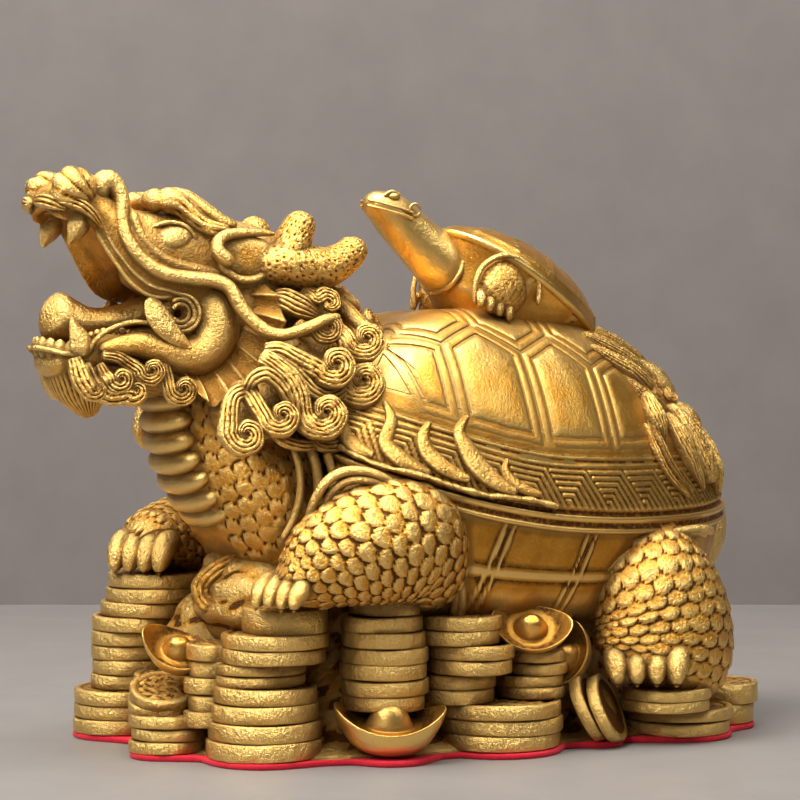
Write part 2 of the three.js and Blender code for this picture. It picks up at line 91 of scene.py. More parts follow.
# Soft irregularity: a mean of sines that run in fixed random directions.
waveWays = unit(rng.normal(size=(10, 3)))
wavePhases = rng.uniform(0, tau, 10)
def wobble(points, size):
    turns = points @ waveWays.T * (tau / size) + wavePhases
    return np.sin(turns + 1.7 * np.sin(turns[..., ::-1] * 0.61)).mean(-1)


# Outward directions on a grid whose columns close round and whose rows run along: the cross product
# of the step round and the step along.
def gridNormals(grid):
    around = np.roll(grid, -1, 1) - np.roll(grid, 1, 1)
    along = np.gradient(grid, axis=0)
    return unit(np.cross(around, along))


# The grid moved outwards by a height at each point.
def raised(grid, relief):
    return grid + gridNormals(grid) * relief[..., None]


# A shape is (points, quads, triangles). A grid that closes round becomes one closed shape, with the
# mean of its first and last row as the two poles.
def closedGrid(grid):
    rows, columns = grid.shape[:2]
    points = np.vstack([grid.reshape(-1, 3), grid[0].mean(0), grid[-1].mean(0)])
    here = np.arange(columns)
    after = (here + 1) % columns
    i = np.arange(rows - 1)[:, None] * columns
    quads = np.stack([i + here, i + after, i + columns + after, i + columns + here], -1).reshape(-1, 4)
    foot, top = rows * columns, rows * columns + 1
    last = (rows - 1) * columns
    triangles = np.vstack([np.stack([after, here, np.full(columns, foot)], 1),
                           np.stack([last + here, last + after, np.full(columns, top)], 1)])
    return points, quads, triangles


def mirrorShape(shape):
    points, quads, triangles = shape
    return points * [-1, 1, 1], quads[:, ::-1], triangles[:, ::-1]


def bothSides(shapes):
    return list(shapes) + [mirrorShape(s) for s in shapes]


# Turns a shape's faces round if its enclosed volume comes out negative.
def facingOut(shape):
    points, quads, triangles = shape
    middle = points.mean(0)
    t = np.vstack([quads[:, [0, 1, 2]], quads[:, [0, 2, 3]], triangles])
    a, b, c = (points[t[:, k]] - middle for k in range(3))
    if np.einsum("ij,ij->i", a, np.cross(b, c)).sum() < 0:
        return points, quads[:, ::-1], triangles[:, ::-1]
    return shape


finishes = {}
made = []

# One mesh of several shapes, with its finish, its body, the CAD node it replaces and its material slot.
def makePiece(name, shapes, finish, stands="figure"):
    shapes = [facingOut(s) for s in shapes]
    starts = np.cumsum([0] + [len(s[0]) for s in shapes])
    points = np.vstack([s[0] for s in shapes])
    quads = np.vstack([s[1] + n for s, n in zip(shapes, starts)])
    triangles = np.vstack([s[2] + n for s, n in zip(shapes, starts)])
    mesh = bpy.data.meshes.new(name)
    mesh.vertices.add(len(points))
    mesh.vertices.foreach_set("co", (points * mm).astype(np.float32).ravel())
    corners = np.concatenate([quads.ravel(), triangles.ravel()]).astype(np.int32)
    first = np.concatenate([np.arange(len(quads)) * 4, 4 * len(quads) + 3 * np.arange(len(triangles))])
    mesh.loops.add(len(corners))
    mesh.loops.foreach_set("vertex_index", corners)
    mesh.polygons.add(len(first))
    mesh.polygons.foreach_set("loop_start", first.astype(np.int32))
    mesh.update(calc_edges=True)
    mesh.validate()
    mesh.shade_smooth()
    piece = bpy.data.objects.new(name, mesh)
    bpy.context.scene.collection.objects.link(piece)
    mesh.materials.append(finishes[finish])
    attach(piece, "root")
    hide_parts(stands)
    made.append(piece)


# A limb: an ellipse of half width and half height carried along a smooth path of stations
# [x, y, z, half width, half height], and rounded off at both ends like a quarter circle. Its rings lie
# closer together near the ends. A square above 1 draws the ellipse in to a diamond.
def limb(stations, rows, columns, up=(0, 0, 1), cap=0.1, square=1.0, relief=None):
    t = np.linspace(0, 1, rows)
    shares = t - 0.75 / tau * np.sin(tau * t) * min(1, 6 * cap)
    path, length = evenly(stations, shares)
    centre, wide, tall = path[:, :3], path[:, 3], path[:, -1]
    forward = unit(np.gradient(centre, axis=0))
    across = unit(np.cross(np.broadcast_to(up, centre.shape), forward))
    over = np.cross(forward, across)
    inEnd = np.clip((np.abs(2 * shares - 1) - (1 - 2 * cap)) / (2 * cap), 0, 1)
    taper = np.sqrt(np.clip(1 - inEnd**2, 0.0004, 1))
    angle = circle(columns)
    c, s = np.cos(angle), np.sin(angle)
    c, s = np.sign(c) * np.abs(c)**square, np.sign(s) * np.abs(s)**square
    grid = (centre[:, None] + across[:, None] * (wide * taper)[:, None, None] * c[None, :, None]
            + over[:, None] * (tall * taper)[:, None, None] * s[None, :, None])
    if relief is not None:
        height = relief(shares[:, None] * length, angle[None, :] + 0 * shares[:, None], grid)
        grid = raised(grid, height * ramp(taper, 0.05, 0.6)[:, None])
    return closedGrid(grid)


# A lock of hair: a flattened limb along [x, y, z, half width]. Its upper face is combed into strands,
# each a ridge of half a sine to the power 0.75, and takes four fifths of the columns.
def lock(stations, strands, thick, depth, rows, columns, outward, cap=0.06):
    t = np.linspace(0, 1, rows)
    path, length = evenly(stations, t)
    centre, wide = path[:, :3], path[:, 3]
    forward = unit(np.gradient(centre, axis=0))
    outward = np.asarray(outward, float)
    face = outward if outward.ndim == 1 else throughPoints(outward, rows)
    across = unit(np.cross(np.broadcast_to(face, centre.shape), forward))
    over = np.cross(forward, across)
    inEnd = np.clip((np.abs(2 * t - 1) - (1 - 2 * cap)) / (2 * cap), 0, 1)
    taper = np.sqrt(np.clip(1 - inEnd**2, 0.002, 1))
    part = np.arange(columns) / columns
    top, under = np.clip(part / 0.8, 0, 1), np.clip(part / 0.2 - 4, 0, 1)
    angle = 0.5 * (np.arccos(1 - 2 * top) + np.pi * top) + np.pi * under
    c, s = np.cos(angle), np.sin(angle)
    sway = 0.1 * np.sin(0.45 * t[:, None] * length + strands)
    comb = np.abs(np.sin(np.pi * strands * 0.5 * (c[None] + 1 + sway))) ** 0.75
    size = wide * taper
    high = thick * np.sign(s) * np.abs(s)**0.7
    ridge = (depth * np.minimum(size, 1.6) * 0.9)[:, None] * (comb * ramp(s, 0.0, 0.35)[None])
    grid = (centre[:, None] + across[:, None] * size[:, None, None] * c[None, :, None]
            + over[:, None] * (size[:, None] * high[None] + ridge)[..., None])
    uneven = 0.22 * wobble(grid, 3.6) + 0.12 * wobble(grid, 1.7)
    return closedGrid(grid + over[:, None] * uneven[..., None])


# A turned form: a profile of [radius, height] swept round, then put through a place function.
def turned(profile, columns, place):
    angle = circle(columns)
    radius, height = np.asarray(profile, float).T
    grid = np.stack([radius[:, None] * np.cos(angle), radius[:, None] * np.sin(angle),
                     height[:, None] + 0 * angle], -1)
    return closedGrid(place(grid))


# Turns in degrees about X, then Y, then Z, as one matrix.
def turnMatrix(x, y, z):
    (cx, sx), (cy, sy), (cz, sz) = ((math.cos(math.radians(a)), math.sin(math.radians(a))) for a in (x, y, z))
    rx = np.array([[1, 0, 0], [0, cx, -sx], [0, sx, cx]])
    ry = np.array([[cy, 0, sy], [0, 1, 0], [-sy, 0, cy]])
    rz = np.array([[cz, -sz, 0], [sz, cz, 0], [0, 0, 1]])
    return rz @ ry @ rx


# An egg: an ellipsoid with its own radii, turned about X, then Y, then Z.
def egg(centre, radii, turn, rows, columns, relief=None):
    rise = np.linspace(-1, 1, rows) * math.pi / 2
    profile = np.stack([np.maximum(np.cos(rise), 0.02), np.sin(rise)], 1)
    angle = circle(columns)
    ball = np.stack([profile[:, :1] * np.cos(angle), profile[:, :1] * np.sin(angle),
                     profile[:, 1:] + 0 * angle], -1)
    grid = (ball * radii) @ turnMatrix(*turn).T + centre
    if relief is not None:
        grid = raised(grid, relief(ball, grid))
    return closedGrid(grid)


# A skin through control loops: smooth along the loops and round each of them.
def lofted(loops, rows, columns):
    loops = np.asarray(loops, float)
    along = throughPoints(loops.reshape(len(loops), -1), rows).reshape(rows, -1, 3)
    around = throughPoints(along.transpose(1, 0, 2).reshape(along.shape[1], -1), columns, closed=True)
    return around.reshape(columns, rows, 3).transpose(1, 0, 2)


# Small pits in staggered rows: each is a bowl of depth (1 - (d / r)^2)^0.7 with a low ring round it.
def pits(across, down, depth):
    total = np.zeros(across.shape)
    row = np.floor(down)
    for k in (-1, 0, 1):
        r = row + k
        shift = 0.5 * np.mod(r, 2)
        column = np.round(across - shift)
        x = across - shift - column + 0.22 * np.sin(7.1 * r + 3.3 * column)
        y = down - r - 0.5 + 0.22 * np.sin(5.3 * column + 2.9 * r)
        size = 0.33 + 0.1 * np.sin(4.7 * r + 9.1 * column)
        far = np.hypot(x, y) / size
        ring, bowl = np.exp(-((far - 1.15) / 0.3) ** 2), np.clip(1 - far ** 2, 0, 1) ** 0.7
        total += 0.45 * depth * ring - depth * bowl
    return total


# A curl of hair: a lock that comes in along a stem and winds in to a boss. After the share f of its
# winding its outer edge is at R * (1 - f)^1.3, and its inner edge where the next turn's outer edge will
# be, so that the turns touch. It stands out by bulge * (1 - (r / R)^2).
def curl(stem, centre, radius, start, outward=(0.95, -0.2, 0.2), turns=1.75, strands=4, bulge=2.0,
         wind=1, rows=74):
    out = unit(np.array(outward, float))
    right = unit(np.cross([0, 0, 1.0], out))
    up = np.cross(out, right)
    f = np.linspace(0, 1, 26)
    phi = math.radians(start) + wind * tau * turns * f
    outer = radius * (1 - f) ** 1.3
    inner = radius * np.clip(1 - f - 1 / turns, 0, 1) ** 1.3
    r, w = (outer + inner) / 2, (outer - inner) / 2 + 0.05
    stand = bulge * (1 - (r / radius) ** 2)
    spiral = (np.array(centre, float) + np.outer(r * np.cos(phi), right) + np.outer(r * np.sin(phi), up)
              + np.outer(stand, out))
    path = np.column_stack([spiral, w * 1.04])
    if len(stem):
        lead = np.column_stack([np.array(stem, float), w[0] * np.linspace(0.8, 1.0, len(stem))])
        path = np.vstack([lead, path])
    path[:, 3] *= 1 + 0.07 * np.sin(2.3 * np.arange(len(path)) + radius)
    return lock(path, strands, 0.7, 0.3, rows, 26, out, cap=0.03)


# A round cord of one thickness.
def cord(points, thick, rows=44, columns=10):
    return limb([[*p, thick, thick] for p in points], rows, columns, (1, 0, 0.2), 0.04)


# Fish scales: in rows that are staggered by half a scale, each is a disc that rises to its free
# end, and the highest disc at a point shows. Down is the way the free ends point.
def fishScales(across, down, size=1.0, step=0.72, rise=0.75):
    b = down / step
    best = np.full(across.shape, -0.2)
    row = np.floor(b)
    for k in (-1, 0, 1):
        r = row + k
        shift = 0.5 * (np.mod(r, 2))
        column = np.round(across - shift)
        x = across - shift - column
        y = (b - r - 0.5) * step
        lift = 0.5 + 0.12 * np.sin(r * 5.1 + column * 7.7)
        far = np.hypot(x, y) / 0.57
        disc = (lift + rise * y) * np.clip((1 - far) / 0.22, 0, 1) ** 0.6 - 0.25 * (far > 1)
        best = np.maximum(best, disc)
    return best * size


# Finishes: a shader node group with its tree, its input node and its output node.
def newGroup(name, inputs, outputs):
    group = bpy.data.node_groups.new(name, "ShaderNodeTree")
    for label, kind, value in inputs:
        socket = group.interface.new_socket(name=label, in_out="INPUT", socket_type=kind)
        if value is not None:
            socket.default_value = value
    for label, kind in outputs:
        group.interface.new_socket(name=label, in_out="OUTPUT", socket_type=kind)
    tree = Tree(group)
    return group, tree, tree.add("NodeGroupInput"), tree.add("NodeGroupOutput")


# Short ways to add nodes to a node tree and to join them.
class Tree:
    def __init__(self, owner):
        self.nodes, self.links = owner.nodes, owner.links

    def add(self, kind, **settings):
        node = self.nodes.new(kind)
        for key, value in settings.items():
            setattr(node, key, value)
        return node

    # Joins what is given, a socket or a plain value, to a node's input.
    def put(self, node, key, what):
        if isinstance(what, bpy.types.NodeSocket):
            self.links.new(what, node.inputs[key])
        else:
            node.inputs[key].default_value = what
        return node

    def math(self, operation, a, b=0.0, c=0.0, clamp=False):
        node = self.add("ShaderNodeMath", operation=operation, use_clamp=clamp)
        for key, what in enumerate((a, b, c)):
            self.put(node, key, what)
        return node.outputs[0]

    def mix(self, share, a, b, blend="MIX"):
        node = self.add("ShaderNodeMix", data_type="RGBA", blend_type=blend)
        self.put(node, 0, share)
        self.put(node, 6, a)
        self.put(node, 7, b)
        return node.outputs[2]

    def noise(self, where, scale, detail=2.0, rough=0.5):
        node = self.add("ShaderNodeTexNoise")
        self.put(node, "Vector", where)
        self.put(node, "Scale", scale)
        self.put(node, "Detail", detail)
        self.put(node, "Roughness", rough)
        return node.outputs[0]

    def span(self, value, low, high, start=0.0, end=1.0):
        node = self.add("ShaderNodeMapRange")
        for key, what in enumerate((value, low, high, start, end)):
            self.put(node, key, what)
        return node.outputs[0]

    def bump(self, strength, distance, height):
        node = self.add("ShaderNodeBump")
        for key, what in (("Strength", strength), ("Distance", distance), ("Height", height)):
            self.put(node, key, what)
        return node.outputs[0]


rgb, number, arrow = "NodeSocketColor", "NodeSocketFloat", "NodeSocketVector"

# Sandy skin of an investment casting: fine grain, pits and a slow unevenness, as one height.
castGrain, tree, given, gives = newGroup(
    "castGrain", [("Place", arrow, None), ("Grain", number, 1.0), ("Unevenness", number, 1.0)],
    [("Height", number), ("Speckle", number)])
place = given.outputs["Place"]
fine = tree.noise(place, 3600.0, 2.0, 0.6)
coarse = tree.noise(place, 1300.0, 3.0, 0.6)
slow = tree.noise(place, 260.0, 2.0, 0.5)
grain = tree.math("ADD", tree.math("MULTIPLY", fine, 0.5), tree.math("MULTIPLY", coarse, 0.9))
height = tree.math("ADD", tree.math("MULTIPLY", grain, given.outputs["Grain"]),
                   tree.math("MULTIPLY", slow, given.outputs["Unevenness"]))
tree.put(gives, "Height", height)
tree.put(gives, "Speckle", tree.span(coarse, 0.35, 0.7))

# The patina stays in the hollows and wears off the edges, and painted shade darkens the colour where
# metal stands close in front. "hollow" and "shade" are kept on the mesh: how far a point lies below its
# surroundings, and how much metal stands close in front of it.
shadedAgedBrass, tree, given, gives = newGroup(
    "shadedAgedBrass",
    [("Place", arrow, None), ("Bright", rgb, (0.9, 0.65, 0.24, 1)), ("Warm", rgb, (0.7, 0.42, 0.1, 1)),
     ("PatinaAndShade", rgb, (0.115, 0.043, 0.006, 1)), ("Amount", number, 1.0), ("Speckle", number, 0.5)],
    [("Color", rgb), ("Mask", number)])
hollow = tree.add("ShaderNodeAttribute", attribute_name="hollow").outputs["Fac"]
shade = tree.add("ShaderNodeAttribute", attribute_name="shade").outputs["Fac"]
patches = tree.noise(given.outputs["Place"], 170.0, 3.0, 0.6)
broken = tree.span(tree.noise(given.outputs["Place"], 900.0, 2.0, 0.6), 0.3, 0.7, 0.65, 1.25)
low = tree.math("MULTIPLY", tree.span(hollow, 0.53, 0.74), broken)
# painted shade: the colour darkens where metal stands close in front, and joins the patina of the hollows
paintedShade = tree.math("MULTIPLY", tree.span(shade, 0.3, 1.0), 0.5)
patinaAndShadeMask = tree.math("MULTIPLY", tree.math("MAXIMUM", low, paintedShade), given.outputs["Amount"], clamp=True)
wear = tree.math("MULTIPLY", tree.span(hollow, 0.47, 0.25), 0.8, clamp=True)
metal = tree.mix(tree.span(patches, 0.35, 0.7), given.outputs["Bright"], given.outputs["Warm"])
metal = tree.mix(tree.math("MULTIPLY", given.outputs["Speckle"], 0.35), metal, given.outputs["Warm"])
metal = tree.mix(wear, metal, (0.95, 0.66, 0.22, 1))
tree.put(gives, "Color", tree.mix(patinaAndShadeMask, metal, given.outputs["PatinaAndShade"]))
tree.put(gives, "Mask", patinaAndShadeMask)


# A new material with its tree, its shader, and the place on the piece that its patterns follow.
def newMaterial(name):
    material = bpy.data.materials.new(name)
    material.use_nodes = True
    finishes[name] = material
    tree = Tree(material.node_tree)
    tree.nodes.clear()
    shader = tree.add("ShaderNodeBsdfPrincipled")
    tree.put(tree.add("ShaderNodeOutputMaterial"), "Surface", shader.outputs[0])
    return tree, shader, tree.add("ShaderNodeTexCoord").outputs["Object"]


# Brass: bright and warm colour, roughness, grain, unevenness, amount of patina and painted shade, and
# strength of the grain in the light.
brasses = {
    "brushedShell": [(0.91, 0.51, 0.098), (0.75, 0.335, 0.040), 0.28, 0.7, 0.6, 1.0, 0.5],
    # the darker copy is painted shade: it darkens the bridge and belly, and also the neck plates and the
    # small turtle's head
    "shadedBrass": [(0.72, 0.36, 0.05), (0.52, 0.22, 0.022), 0.33, 0.8, 0.9, 1.1, 0.6],
    "carvedBrass": [(0.91, 0.51, 0.108), (0.75, 0.34, 0.044), 0.27, 1.0, 1.0, 1.25, 1.2],
    "coinBrass": [(0.88, 0.48, 0.098), (0.67, 0.30, 0.038), 0.28, 1.0, 1.4, 1.3, 1.3],
}

def brassFinish(name, bright, warm, roughness, grain, unevenness, amount, bump):
    tree, shader, where = newMaterial(name)
    skin = tree.add("ShaderNodeGroup", node_tree=castGrain)
    for key, what in (("Place", where), ("Grain", grain), ("Unevenness", unevenness)):
        tree.put(skin, key, what)
    patinaShadeNode = tree.add("ShaderNodeGroup", node_tree=shadedAgedBrass)
    for key, what in (("Place", where), ("Bright", (*bright, 1)), ("Warm", (*warm, 1)),
                      ("Amount", amount), ("Speckle", skin.outputs["Speckle"])):
        tree.put(patinaShadeNode, key, what)
    dull = tree.math("MULTIPLY", patinaShadeNode.outputs["Mask"], 0.25)
    spread = tree.math("MULTIPLY", skin.outputs["Speckle"], 0.08)
    tree.put(shader, "Base Color", patinaShadeNode.outputs["Color"])
    tree.put(shader, "Metallic", tree.span(patinaShadeNode.outputs["Mask"], 0.0, 1.0, 1.0, 0.75))
    tree.put(shader, "Roughness", tree.math("ADD", tree.math("ADD", dull, spread), roughness))
    tree.put(shader, "Normal", tree.bump(bump, 0.0004, skin.outputs["Height"]))


for name, values in brasses.items():
    brassFinish(name, *values)


# Painted sheets of the studio: one colour, slightly mottled.
def plainFinish(name, colour, roughness, speckle):
    tree, shader, where = newMaterial(name)
    mottled = tree.span(tree.noise(where, 40.0, 4.0, 0.6), 0.3, 0.7, -speckle, speckle)
    darker, lighter = ((*[c * share for c in colour], 1) for share in (0.94, 1.05))
    tree.put(shader, "Base Color", tree.mix(tree.math("ADD", mottled, 0.5, clamp=True), darker, lighter))
    tree.put(shader, "Roughness", roughness)


# Pressed wool: short fibres lie in all directions and catch a soft sheen.
def feltFinish():
    tree, shader, where = newMaterial("redFelt")
    fibres = tree.noise(where, 2600.0, 5.0, 0.75)
    clumps = tree.noise(where, 420.0, 3.0, 0.6)
    tone = tree.mix(tree.span(clumps, 0.3, 0.7), (0.52, 0.004, 0.016, 1), (0.68, 0.007, 0.028, 1))
    tone = tree.mix(tree.span(fibres, 0.45, 0.75), tone, (0.78, 0.02, 0.045, 1))
    wool = {"Base Color": tone, "Roughness": 0.9, "Sheen Weight": 0.15, "Sheen Roughness": 0.5,
            "Sheen Tint": (1.0, 0.45, 0.5, 1), "Normal": tree.bump(0.5, 0.0003, fibres)}
    for key, what in wool.items():
        tree.put(shader, key, what)


feltFinish()
print("finishes ready:", ", ".join(finishes))


# Studio: the camera stands at an azimuth from -Y towards +X, and looks down by the pitch, in degrees.
studio = {
    "azimuth": 62.0, "distance": 0.590, "height": 0.0946, "aim": (0.031, -0.012), "pitch": 0.816,
    "fieldOfView": 18.5, "floor": (0.205, 0.187, 0.173), "wall": (0.172, 0.149, 0.139),
    "floorNear": -2.2, "wallDistance": 0.345, "wallTop": 1.6, "halfWidth": 2.4,
    "world": (0.62, 0.60, 0.58, 1), "worldStrength": 0.13, "middle": (0.0, 0.0, 0.06),
}

def makeCamera():
    a, p = math.radians(studio["azimuth"]), math.radians(studio["pitch"])
    data = bpy.data.cameras.new("camera")
    data.sensor_width = 36.0
    data.lens = data.sensor_width / 2 / math.tan(math.radians(studio["fieldOfView"] / 2))
    data.clip_start, data.clip_end = 0.01, 20.0
    camera = bpy.data.objects.new("camera", data)
    (x, y), distance = studio["aim"], studio["distance"]
    camera.location = (x + math.sin(a) * distance, y - math.cos(a) * distance, studio["height"])
    camera.rotation_euler = (math.pi / 2 - p, 0, a)
    bpy.context.scene.collection.objects.link(camera)
    bpy.context.scene.camera = camera


# The floor and the wall behind it: two sheets, each [distance away from the camera, height] carried
# sideways.
def makeBackdrop():
    a = math.radians(studio["azimuth"])
    away = np.array([-math.sin(a), math.cos(a), 0.0])
    side = np.array([math.cos(a), math.sin(a), 0.0])
    reach, half = studio["wallDistance"], studio["halfWidth"]
    floor = [[studio["floorNear"], 0], [-1.0, 0], [0, 0], [reach * 0.6, 0], [reach * 0.9, 0], [reach, 0]]
    wall = [[reach, -0.02], [reach, 0.5], [reach, studio["wallTop"]]]
    for name, rows, colour, roughness in (("studioFloor", floor, studio["floor"], 0.55),
                                          ("studioWall", wall, studio["wall"], 0.9)):
        rows = np.array(rows, float)
        across = np.linspace(-half, half, 9)[None, :, None] * side
        grid = rows[:, None, :1] * away + across + rows[:, None, 1:] * np.array([0, 0, 1.0])
        n, m = grid.shape[:2]
        i = (np.arange(n - 1)[:, None] * m + np.arange(m - 1)).ravel()
        second, fourth = (i + m, i + 1) if name == "studioFloor" else (i + 1, i + m)
        mesh = bpy.data.meshes.new(name)
        quads = np.stack([i, second, i + m + 1, fourth], 1)
        mesh.from_pydata(grid.reshape(-1, 3).tolist(), [], quads.tolist())
        plainFinish(name, colour, roughness, 0.5)
        mesh.materials.append(finishes[name])
        sheet = bpy.data.objects.new(name, mesh)
        bpy.context.scene.collection.objects.link(sheet)


# Soft boxes by azimuth, elevation and distance from the figure: they face its middle.
lamps = {
    "keyBox": {"at": (8, 56, 0.85), "size": (0.45, 0.55), "power": 9.5, "colour": (1.0, 0.985, 0.96)},
    "rightBox": {"at": (120, 46, 0.9), "size": (0.35, 0.5), "power": 1.5, "colour": (1.0, 0.98, 0.95)},
    "topBox": {"at": (70, 80, 0.8), "size": (0.8, 0.5), "power": 9.0, "colour": (1.0, 0.99, 0.97)},
    "frontBox": {"at": (40, 26, 1.1), "size": (0.3, 0.3), "power": 1.6, "colour": (1.0, 0.97, 0.93)},
    "backBox": {"at": (-75, 38, 1.0), "size": (0.5, 0.7), "power": 3.0, "colour": (0.96, 0.98, 1.0)},
}

def makeLamps():
    for name, lamp in lamps.items():
        azimuth, rise, distance = lamp["at"]
        a, e = math.radians(azimuth), math.radians(rise)
        back = np.array([math.sin(a) * math.cos(e), -math.cos(a) * math.cos(e), math.sin(e)])
        data = bpy.data.lights.new(name, "AREA")
        data.shape = "RECTANGLE"
        data.size, data.size_y = lamp["size"]
        data.energy = lamp["power"]
        data.color = lamp["colour"]
        light = bpy.data.objects.new(name, data)
        light.location = np.array(studio["middle"]) + back * distance
        light.rotation_euler = (math.pi / 2 - e, 0, a)
        bpy.context.scene.collection.objects.link(light)
    world = bpy.data.worlds.new("studio")
    world.use_nodes = True
    background = world.node_tree.nodes["Background"]
    background.inputs[0].default_value = studio["world"]
    background.inputs[1].default_value = studio["worldStrength"]
    bpy.context.scene.world = world
    bpy.context.scene.view_settings.view_transform = "Standard"


makeCamera()
makeBackdrop()
makeLamps()
print("studio ready")


# Shell: a dome over a wavy rim. Over the share r of the way out to the rim, in the direction a,
# the height is rim + (crown - rim) * (1 - r^f)^0.8, with f = 2.6 + 1.4 * max(0, cos a)^2.
shell = {
    "middleY": 30.0, "crown": 109.0, "belly": 27.0,
    "rim": [
        [0, -20, 76], [15, -25, 75.5], [27, -28, 74], [35, -20, 70], [38.8, -7, 65.5], [41, 8, 61.5],
        [41.6, 25, 58.5], [40.6, 43, 57], [37, 60, 56.6], [31, 76, 57], [21, 89, 58], [10, 96, 59],
        [0, 98, 60]],
    "seams": [-18.0, 2.5, 25.0, 46.0, 63.0, 79.0], "corner": 25.5, "waist": 20.5, "foot": 0.905,
    # inset from a seam, and height of the surface there: a channel along the seam and one round the face
    "channels": [
        [0.0, -0.55], [0.28, -0.45], [0.5, 0.0], [0.62, 0.08], [1.6, 0.1], [2.35, 0.08], [2.5, 0.0],
        [2.72, -0.55], [3.0, -0.6], [3.25, 0.0], [3.45, 0.1], [4.2, 0.22]],
    "face": 0.3, "sideStep": 1.4, "closeUnder": 2.0,
}
rimHalf = np.array(shell["rim"], float)
rimLine = throughPoints(np.vstack([rimHalf, rimHalf[-2:0:-1] * [-1, 1, 1]]), 2880, closed=True)
rimTurn = np.arctan2(rimLine[:, 0], shell["middleY"] - rimLine[:, 1])
rimReach = np.hypot(rimLine[:, 0], shell["middleY"] - rimLine[:, 1])

# Reach and height of the rim in a direction from the dome's middle.
def rimAt(angle):
    return (np.interp(angle, rimTurn, rimReach, period=tau),
            np.interp(angle, rimTurn, rimLine[:, 2], period=tau))


def domeHeight(angle, reach):
    _, rimZ = rimAt(angle)
    fullness = 2.6 + 1.4 * np.maximum(0, np.cos(angle)) ** 2
    return rimZ + (shell["crown"] - rimZ) * (1 - np.clip(reach, 0, 1) ** fullness) ** 0.8


# Height of the dome over a place on the plan, and the share of the way out to the rim there.
def domeAt(x, y):
    angle = np.arctan2(x, shell["middleY"] - y)
    reach = np.hypot(x, shell["middleY"] - y) / rimAt(angle)[0]
    return domeHeight(angle, reach), reach


def onDome(x, y):
    return np.stack([x, y, domeAt(x, y)[0]], -1)


# Place on the dome by direction and share of the way out.
def domePolar(angle, reach):
    out = reach * rimAt(angle)[0]
    x, y = out * np.sin(angle), shell["middleY"] - out * np.cos(angle)
    return np.stack([x, y, domeHeight(angle, reach)], -1)


# Outward direction of the dome: (-slope along x, -slope along y, 1), made one long.
def domeNormal(x, y):
    step = 0.05
    slopeX = (domeAt(x + step, y)[0] - domeAt(x - step, y)[0]) / (2 * step)
    slopeY = (domeAt(x, y + step)[0] - domeAt(x, y - step)[0]) / (2 * step)
    return unit(np.stack([-slopeX, -slopeY, np.ones_like(x)], -1))


# The dome unrolled: at each place along it, the length of the arc from the middle line out to x.
unrolled = {"y0": -27.0, "stepY": 0.5, "rows": 252, "stepX": 0.2, "columns": 215, "stepS": 0.25, "arcs": 340}
tableY = unrolled["y0"] + unrolled["stepY"] * np.arange(unrolled["rows"])
tableX = unrolled["stepX"] * np.arange(unrolled["columns"])
tableZ = domeAt(tableX, tableY[:, None])[0]
arcTable = np.concatenate([np.zeros((len(tableY), 1)),
                           np.cumsum(np.hypot(unrolled["stepX"], np.diff(tableZ, axis=1)), 1)], 1)
tableS = unrolled["stepS"] * np.arange(unrolled["arcs"])
xTable = np.array([np.interp(tableS, arcs, tableX) for arcs in arcTable])

# From a place on the plan to the arc out to it, and back.
def arcOf(x, y):
    row = (y - unrolled["y0"]) / unrolled["stepY"]
    return np.sign(x) * tableAt(arcTable, row, np.abs(x) / unrolled["stepX"])


def unroll(s, y):
    row = (y - unrolled["y0"]) / unrolled["stepY"]
    return np.sign(s) * tableAt(xTable, row, np.abs(s) / unrolled["stepS"]), y


# How far out the dome reaches a given share of its rim, at one place along it.
def sideAt(along, share):
    x = np.linspace(0, 45, 900)
    return float(np.interp(share, domeAt(x, along)[1], x))


# Outlines of the plates on the plan: six-sided ones across the middle line, whose corners meet the
# seams, and flank ones that run from a point between two of those down to the band.
def plateOutlines():
    seams = shell["seams"]
    middles, flanks = [], []
    for before, along, after in zip(seams[:-2], seams[1:-1], seams[2:]):
        a, b = (before + along) / 2, (along + after) / 2
        edge = [[shell["waist"], a], [shell["corner"], along], [shell["waist"], b]]
        middles.append(edge + [[-x, y] for x, y in edge[::-1]])
    for start, end in zip(seams[:-1], seams[1:]):
        middle = (start + end) / 2
        foot = [[sideAt(y, shell["foot"]), y] for y in (start, middle, end)]
        top = [[min(shell["corner"], sideAt(y, 0.75)), y] for y in (end, start)]
        neck = [min(shell["waist"], sideAt(middle, 0.62)), middle]
        flanks.append(foot + [top[0], neck, top[1]])
    first = [[sideAt(y, shell["foot"]), y] for y in (-19.5, -8.5, seams[1])]
    flanks[0] = first + [[shell["corner"], seams[1]], [shell["waist"] + 0.4, -8.4]]
    front = [[shell["waist"], -8.2], [27.0, -19.0], [16.0, -22.5]]
    middles.append(front + [[-x, y] for x, y in front[::-1]])
    return middles, flanks


